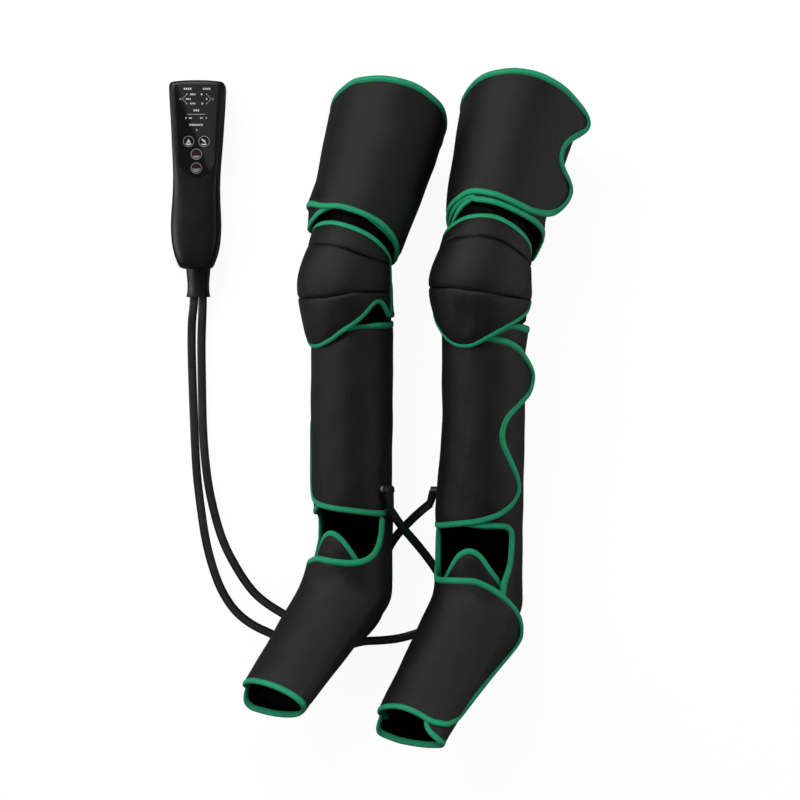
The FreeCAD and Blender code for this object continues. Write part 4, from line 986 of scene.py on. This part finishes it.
knee_pad(LEFT, LEFT_PAD, [
    [(-112, 26), (-60, 31), (-40, 35), (-24, 38), (-12, 40), (6, 42), (20, 44), (32, 46), (44, 47),
     (55, 47), (67, 45), (83, 42), (107, 40), (128, 36)],
    [(-112, -6), (-31, -8), (1, -8), (19, -9), (36, -10), (56, -11), (84, -12), (126, -13)]])


def knee_wing(leg):
    """Narrow side panel behind the pad that joins it to the back of the sleeve."""
    edge = [(-123, 50), (-119, 36), (-115, 10), (-115, -12), (-118, -30), (-124, -38), (-150, -38),
            (-172, -30), (-172, 40), (-150, 48)]
    Panel(leg.side + "_knee_side", leg, leg.bent, KNEE_R, edge, lift=-7.5, thick=2.6).ride()


knee_wing(RIGHT)
knee_wing(LEFT)


# Inner front edge of the long wrap that runs from the knee to the toes under the flaps
INNER_FRONT = [(306, -520), (300, -440), (298, -380), (298, -350)]


def right_shank():
    """Calf and foot wrap, bound all round but for the hidden edge at its inner front."""
    under = [(-18, -50), (60, -46), (110, -46), (180, -44), (240, -44), (308, -44), (342, -46),
             (342, -262)]
    inner_ankle = [(252, -344), (244, -318), (242, -292), (250, -276), (266, -268), (318, -262)]
    ankle = [(74, -290), (74, -318), (68, -344)]
    toe = [(72, -554), (81, -562), (98, -569), (120, -571), (138, -569), (171, -566), (198, -563),
           (224, -561), (238, -556), (262, -547), (290, -541), (306, -538)]
    front = [(62, -360), (60, -380), (58, -440), (56, -500), (60, -540)]
    bound = [*toe[::-1], *front[::-1], *ankle[::-1], (66, -286), (46, -286), (28, -280), (10, -268),
             (-18, -256), (-18, -160), *under]
    hidden = [*inner_ankle[::-1], *INNER_FRONT[::-1]]
    Panel("right_shank_wrap", RIGHT, RIGHT.shank, SHANK_R, bound, hidden, lift=SLEEVE_LIFT,
          replaces=["right_calf_sleeve", "right_foot_sleeve"]).ride()
    free = [(-118, -45), (-100, -44), (-64, -43), (-52, -44), (-20, -50), (10, -54), (40, -60),
            (70, -66), (95, -82), (104, -100), (98, -120), (84, -140), (66, -160), (48, -182),
            (42, -200), (40, -225), (39, -250), (32, -266), (14, -272), (-21, -275), (-45, -277),
            (-70, -280), (-92, -283)]
    flap(RIGHT, "calf", RIGHT.shank, SHANK_R, free, -120, (-48, -170))
    free = [(-92, -282), (-92, -298), (-90, -309), (-82, -326), (-68, -335), (-47, -338),
            (-26, -337), (12, -335), (44, -346), (78, -372), (110, -396), (118, -420), (118, -470),
            (112, -510), (100, -540), (78, -552), (54, -554), (20, -553), (-12, -553), (-50, -555),
            (-85, -558), (-118, -562)]
    flap(RIGHT, "foot", RIGHT.shank, SHANK_R, free, -122, (-66, -470))


def left_shank():
    """Calf and foot wrap, bound all round."""
    under = [(-18, -56), (40, -52), (64, -44), (72, -40), (90, -44), (107, -48), (140, -50),
             (180, -46), (240, -44), (308, -42), (342, -46), (342, -262)]
    inner_ankle = [(300, -345), (300, -312), (300, -290), (322, -278)]
    ankle = [(76, -289), (80, -297), (78, -312), (76, -328), (70, -342)]
    toe = [(22, -566), (30, -577), (44, -583), (74, -587), (100, -585), (146, -582), (188, -582),
           (219, -584), (241, -584), (262, -585), (274, -583), (282, -573), (288, -550)]
    front = [(63, -352), (60, -380), (58, -440), (48, -500), (32, -545)]
    outline = [*under, *inner_ankle[::-1], *INNER_FRONT[::-1], *toe[::-1], *front[::-1],
               *ankle[::-1], (66, -286), (30, -285), (4, -283), (-18, -276), (-18, -160)]
    Panel("left_shank_wrap", LEFT, LEFT.shank, SHANK_R, outline, lift=SLEEVE_LIFT,
          replaces=["left_calf_sleeve", "left_foot_sleeve"]).ride()
    free = [(-98, -44), (-64, -44), (-48, -46), (-20, -50), (10, -54), (47, -56), (66, -60),
            (80, -66), (93, -72), (110, -89), (117, -102), (117, -113), (111, -131), (90, -142),
            (70, -153), (62, -170), (63, -183), (76, -205), (90, -225), (95, -244), (81, -259),
            (59, -271), (29, -279), (-7, -284), (-40, -290), (-60, -292), (-98, -292)]
    flap(LEFT, "calf", LEFT.shank, SHANK_R, free, -100, (-48, -170), 85)
    free = [(-66, -287), (-62, -300), (-61, -322), (-60, -342), (-56, -352), (-44, -355),
            (-8, -350), (23, -348), (50, -361), (80, -381), (106, -393), (117, -402), (128, -419),
            (130, -432), (128, -449), (121, -475), (114, -499), (105, -525), (95, -548), (68, -566),
            (39, -571), (5, -565), (-18, -563), (-34, -565), (-57, -566), (-98, -564)]
    flap(LEFT, "foot", LEFT.shank, SHANK_R, free, -100, (-66, -470), 90)


right_shank()
left_shank()


TONGUE_CROWN, TONGUE_SPREAD = 3.0, 34


def tongue(leg, crest, foot):
    """Padded tongue that stands up inside the ankle opening."""
    middle = crest[len(crest) // 2][0]

    def relief(u, h):
        return TONGUE_CROWN * np.exp(-((u - middle) / TONGUE_SPREAD) ** 2)

    pad = Panel(leg.side + "_ankle_tongue", leg, leg.shank, SHANK_R, crest, foot, lift=-13.5,
                thick=4.5, relief=relief, slot="pad_fabric")
    pad.ride()


tongue(RIGHT,
       [(50, -352), (40, -336), (28, -322), (10, -308), (-8, -301), (-24, -305), (-38, -316),
        (-56, -334), (-72, -350)],
       [(-70, -372), (-10, -384), (46, -372)])
tongue(LEFT,
       [(-50, -362), (-38, -350), (-27, -338), (-16, -325), (-6, -316), (11, -310), (29, -317),
        (49, -338), (65, -352), (74, -364)],
       [(64, -382), (10, -392), (-40, -380)])


# ---------------------------------------------------------------- hand controller

CASE_X, CASE_Y = -222.23, 288.95
SPLIT, CASE_TOP, CASE_LOW = 24.0, 45.0, 1.5
KEY_TOP = 47.2
WALL = 2.2

# Rows along the case: y, half width, squareness of the section, share of the full height
CASE_ROWS = [
    (-117.2, 15.5, 4, 0.62), (-116.8, 18.5, 4, 0.76), (-115.6, 20.8, 4, 0.88),
    (-113, 22.4, 4, 0.95), (-108, 24.4, 4, 0.985), (-101.4, 26.9, 4, 1), (-92, 29.2, 4, 1),
    (-82.6, 30.6, 4, 1), (-72, 31.4, 4, 1), (-63.8, 31.6, 4, 1), (-50, 31.2, 4, 1),
    (-32.4, 30.1, 4, 1), (-16, 29.4, 4.5, 1), (-1, 29.3, 5.5, 1), (14, 29.8, 7, 1),
    (30.3, 30.7, 9, 1), (50, 31.9, 9, 1), (72, 33.2, 9, 1), (93, 34.5, 9, 1), (104, 35, 9, 1),
    (110, 35.2, 9, 0.995), (113.4, 34.9, 8, 0.985), (115.6, 33.8, 7, 0.95), (116.8, 32.2, 6, 0.88),
    (117.2, 30.2, 5, 0.78)]
END_BULGE, BULGE_FROM, BULGE_TO = 1.6, 90, 117
CASE_LEAN, LEAN_FROM, LEAN_TO = -2.0, -80, 70
WALL_FROM = 70  # past this the inner skin draws back from the ends
ACROSS = 36
SHARP_CASE = 35


def case_profile(y, half, square, share, depth, inset):
    """Half of a squarish oval across the case, from its left edge over to its right edge."""
    points = []
    lean = CASE_LEAN * swell(-y, LEAN_FROM, LEAN_TO)
    for k in range(ACROSS + 1):
        a = math.pi * (1 - k / ACROSS)
        x = math.copysign(abs(math.cos(a)) ** (2 / square), math.cos(a)) * (half - inset)
        rise = math.sin(a) ** (2 / square) * (abs(depth) * share - inset)
        bulge = END_BULGE * swell(abs(y), BULGE_FROM, BULGE_TO) * (1 - (x / half) ** 2) * np.sign(y)
        points.append(((x + lean + CASE_X) * MM, (y + bulge + CASE_Y) * MM,
                       (SPLIT + math.copysign(rise, depth)) * MM))
    return points


def case_half(name, depth, cutters, replaced):
    """One shell of the case: its outside and inside skins, joined along the parting line."""
    outside = [case_profile(*row, depth, 0) for row in CASE_ROWS]
    inside = [case_profile(*row, depth, WALL) for row in CASE_ROWS]
    reach = CASE_ROWS[-1][0]
    for ring, row in zip(inside, CASE_ROWS):
        shift = -row[0] * WALL / reach * swell(abs(row[0]), WALL_FROM, reach)
        ring[:] = [(x, y + shift * MM, z) for x, y, z in ring]
    size = ACROSS + 1
    rows = len(CASE_ROWS)
    faces = []
    for i in range(rows - 1):
        for k in range(ACROSS):
            a, b = i * size + k, (i + 1) * size + k
            faces.append((a, b, b + 1, a + 1))
            a, b = a + rows * size, b + rows * size
            faces.append((a, a + 1, b + 1, b))
        for k, turned in ((0, False), (ACROSS, True)):
            a, b = i * size + k, (i + 1) * size + k
            edge = (a, a + rows * size, b + rows * size, b)
            faces.append(edge[::-1] if turned else edge)
    for i, turned in ((0, False), (rows - 1, True)):
        outer = [i * size + k for k in range(size)]
        inner = [point + rows * size for point in outer]
        faces.append(tuple(outer[::-1]) if turned else tuple(outer))
        faces.append(tuple(inner) if turned else tuple(inner[::-1]))
        lip = (outer[0], outer[-1], inner[-1], inner[0])
        faces.append(lip if turned else lip[::-1])
    if depth < 0:
        faces = [face[::-1] for face in faces]
    points = [point for ring in outside + inside for point in ring]
    made = add_mesh(name, points, faces, [CASE])
    tool = join_cutters(cutters)
    carve = made.modifiers.new("holes", "BOOLEAN")
    carve.object = tool
    carve.operation = "DIFFERENCE"
    carve.solver = "EXACT"
    carved = made.evaluated_get(bpy.context.evaluated_depsgraph_get())
    shape = bpy.data.meshes.new_from_object(carved)
    made.modifiers.remove(carve)
    bpy.data.objects.remove(tool)
    made.data = shape
    shade_smooth(shape, SHARP_CASE)
    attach(made, "base")
    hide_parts(replaced)


def prism(outline, low, high):
    """Points and faces of an upright solid over a flat outline that runs anticlockwise."""
    size = len(outline)
    points = [(x, y, z) for z in (low, high) for x, y in outline]
    faces = [tuple(range(size))[::-1], tuple(range(size, 2 * size))]
    faces += [(k, (k + 1) % size, (k + 1) % size + size, k + size) for k in range(size)]
    return points, faces


def round_outline(x, y, radius, count=40):
    """Circle round a middle point."""
    return [(x + radius * math.cos(a), y + radius * math.sin(a)) for a in full_turn(count)]


def box_outline(x, y, wide, tall):
    """Rectangle round a middle point."""
    left, right, low, high = x - wide / 2, x + wide / 2, y - tall / 2, y + tall / 2
    return [(left, low), (right, low), (right, high), (left, high)]


def gather(solids):
    """Joins prisms in the case's own millimetres into the points and faces of one mesh."""
    points, faces = [], []
    for more, sides in solids:
        faces += [tuple(i + len(points) for i in face) for face in sides]
        points += [((x + CASE_X) * MM, (y + CASE_Y) * MM, z * MM) for x, y, z in more]
    return points, faces


def join_cutters(cutters):
    """Holes of a case half as one object."""
    return add_mesh("cutters", *gather(cutters), [CASE])


KEYS = {"mode": (-9.7, 41.0), "intensity": (9.7, 41.0), "heat": (0, 25.0), "power": (0, 7.4)}
KEY_HOLE = 6.4
LAMP_WINDOW = (0, 78, 30, 48)  # middle x, y, width and length
CUT_PAST = 3
INLET_HEIGHT, INLET_RADIUS, INLET_CUT = 15.0, 5.4, (100, 125)
GLAND_HEIGHT, GLAND_SLOT, GLAND_CUT = 14, (22, 10), (-125, -104)


def along_case(outline, height, start, end):
    """Prism that lies down and runs along the case."""
    points, faces = prism(outline, start, end)
    return [(x, z, height + y) for x, y, z in points], [face[::-1] for face in faces]


FRONT_HOLES = [round_outline(x, y, KEY_HOLE) for x, y in KEYS.values()]
FRONT_HOLES.append(box_outline(*LAMP_WINDOW))
case_half("front_case", CASE_TOP - SPLIT,
          [prism(hole, SPLIT, CASE_TOP + CUT_PAST) for hole in FRONT_HOLES], "front_shell")
case_half("rear_case", CASE_LOW - SPLIT,
          [along_case(round_outline(0, 0, INLET_RADIUS), INLET_HEIGHT, *INLET_CUT),
           along_case(box_outline(0, 0, *GLAND_SLOT), GLAND_HEIGHT, *GLAND_CUT)], "rear_shell")

# Low and high side of the printed marks
PANEL_INK, KEY_INK = (45.98, 46.05), (KEY_TOP - 0.02, KEY_TOP + 0.05)
DOT_GAP, DOT_TALL = 0.55, 1.2


def dots(x, y, count, size):
    """Row of small printed squares centred on a point."""
    gap = size + DOT_GAP
    return [box_outline(x + (k - (count - 1) / 2) * gap, y, size, size * DOT_TALL)
            for k in range(count)]


def chevron(x, y, side, size, line=0.7):
    """Arrow head that points to one side."""
    tip, tail = x + side * size / 2, x - side * size / 2
    outline = [(tail, y + size), (tail + side * line, y + size), (tip + side * line, y),
               (tail + side * line, y - size), (tail, y - size), (tip, y)]
    return outline[::-1] if side > 0 else outline


# Rows of dots on the panel: middle x, y, number of dots, their size
DOT_ROWS = [
    (-11.1, 107.1, 4, 2.0), (13.0, 107.1, 4, 1.9), (-12.1, 100.2, 1, 1.2), (-4.5, 100.2, 3, 1.8),
    (6.7, 100.2, 1, 2.0), (13.0, 100.2, 1, 1.2), (-10.0, 94.3, 3, 1.7), (13.0, 94.3, 1, 1.7),
    (-12.1, 88.6, 1, 1.2), (-4.5, 88.6, 3, 1.8), (7.4, 88.6, 1, 2.0), (13.0, 88.6, 1, 1.2),
    (0.0, 80.0, 3, 2.0), (-13.0, 70.4, 1, 1.4), (-7.5, 70.4, 2, 1.5), (6.4, 70.4, 2, 1.5),
    (12.5, 70.4, 1, 1.4), (-0.4, 61.8, 7, 1.9), (0.5, 55.5, 1, 1.5)]
RULE = (0, 75.1, 23, 0.5)
# Middle x, y, side it points to, size and thickness
CHEVRONS = [(-19.8, 94.3, -1, 1.6), (20.4, 94.3, 1, 1.6), (-15.2, 94.3, -1, 4.6, 0.5),
            (16.2, 94.3, 1, 4.6, 0.5)]


def panel_print():
    """Plain dots, a rule and arrow heads printed on the panel."""
    marks = [dot for row in DOT_ROWS for dot in dots(*row)]
    marks += [box_outline(*RULE), *(chevron(*values) for values in CHEVRONS)]
    made = add_mesh("panel_print", *gather([prism(mark, *PANEL_INK) for mark in marks]), [PRINT])
    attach(made, "base")


def crescent(x, y, out, rise, count=24):
    """Lower part of a disc under a level line."""
    start = math.asin(rise / out)
    angles = [math.pi - start + (math.pi + 2 * start) * k / count for k in range(count + 1)]
    return [(x + out * math.cos(a), y + out * math.sin(a)) for a in angles]


MODE_SIGN = [(-2.7, -1.6), (2.7, -1.6), (1.2, 1.2), (0, 3.6), (-1.2, 1.2)]
LEVEL_SIGN = [(-3.4, 2.2), (-1.6, 0.2), (2.8, -2.4), (1.8, 0.6), (-1.8, 3.4)]


def key_marks():
    """Printed signs that travel with their keys: a figure over a crescent, or a crescent alone."""
    signs = {"mode": (PRINT, MODE_SIGN, 5.0, -2.6), "intensity": (PRINT, LEVEL_SIGN, 5.0, -3.0),
             "heat": (RING, [], 5.2, -2.0), "power": (RING, [], 5.2, -0.6)}
    for key, (ink, figure, out, rise) in signs.items():
        x, y = KEYS[key]
        marks = [[(x + a, y + b) for a, b in figure]] if figure else []
        marks.append(crescent(x, y, out, rise))
        made = add_mesh(key + "_sign", *gather([prism(mark, *KEY_INK) for mark in marks]), [ink])
        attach(made, key + "_button")


panel_print()
key_marks()


# ---------------------------------------------------------------- finishes of the solid parts

# The hand controller's and the wraps' solid parts that show as they are, by finish
FINISHES = [
    (CASE, ["hose_gland"]), (GLOSS, ["control_panel"]),
    (RING, ["button_rings"]), (KEY_DARK, ["mode_button", "intensity_button"]),
    (KEY_RED, ["heat_button", "power_button"]), (BOARD, ["circuit_board"]),
    (PORT_DARK, ["tact_switches", "dc_inlet", "pump_head", "air_manifold", "right_air_plug",
                 "left_air_plug", "left_air_port", "right_valve", "left_valve"]),
    (LAMP, ["indicator_lights"]),
    (STEEL, ["pump_motor", "pump_crank", "case_screws", "right_valve_plunger",
             "left_valve_plunger"]),
    (RUBBER, ["pump_diaphragm", "rubber_feet"]), (SOFT_GREY, ["air_tubes"]),
    (PORT, ["right_air_port"]),
    (HEATER, ["right_knee_heater", "left_knee_heater"]),
    (FILM, ["right_thigh_bladder", "right_calf_bladder", "right_foot_bladder", "left_thigh_bladder",
            "left_calf_bladder", "left_foot_bladder"])]


def finish_nodes():
    """Gives its finish to each solid part that shows as it is."""
    for finish, names in FINISHES:
        for name in names:
            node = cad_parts[name]
            node.data.materials.clear()
            node.data.materials.append(finish)


finish_nodes()


# ---------------------------------------------------------------- floor and studio light

FLOOR_SIZE, FLOOR_LEVEL = 6, -0.0005
FLOOR_LIT, FLOOR_SEEN, FLOOR_GLOW = (0.3, 0.3, 0.3, 1), (0.14, 0.14, 0.14, 1), 0.94
SKY_LIGHT, SKY_SEEN = 0.1, 0.9


def make_floor():
    """White floor: it glows for the camera alone, so that it keeps the set's shadow."""
    points = [(x, y, FLOOR_LEVEL) for x, y in box_outline(0, 0, FLOOR_SIZE, FLOOR_SIZE)]
    white = bpy.data.materials.new("white_floor")
    white.use_nodes = True
    tree = white.node_tree
    wires = Wiring(tree)
    seen = wires.add("LightPath")
    surface = tree.nodes["Principled BSDF"]
    surface.inputs["Roughness"].default_value = 0.9
    tree.links.new(wires.blend(seen, FLOOR_LIT, FLOOR_SEEN), surface.inputs["Base Color"])
    glow = wires.add("Emission", {"Strength": wires.maths("MULTIPLY", seen, FLOOR_GLOW)})
    both = wires.add("AddShader", {0: surface.outputs[0], 1: glow})
    tree.links.new(both, tree.nodes["Material Output"].inputs[0])
    add_mesh("floor", points, [(0, 1, 2, 3)], [white])


def make_world():
    """Faint even light, and white where the camera looks past the floor."""
    world = bpy.data.worlds.new("studio")
    bpy.context.scene.world = world
    world.use_nodes = True
    tree = world.node_tree
    wires = Wiring(tree)
    ray = wires.add("LightPath")
    strength = wires.maths("MULTIPLY_ADD", ray, SKY_SEEN, SKY_LIGHT)
    tree.nodes["Background"].inputs["Color"].default_value = (1, 1, 1, 1)
    tree.links.new(strength, tree.nodes["Background"].inputs["Strength"])


make_floor()
make_world()
softbox("main_softbox", (-1.1, 2.0, 2.2), (0, 0, 0.05), (2.0, 1.2), 38)
softbox("left_softbox", (-1.8, 0.2, 0.7), (-0.05, 0, 0.05), (0.5, 1.8), 9)
softbox("right_softbox", (1.8, 0.2, 0.65), (0.1, 0, 0.05), (0.6, 1.8), 7.5)
bpy.context.scene.view_settings.view_transform = "Standard"
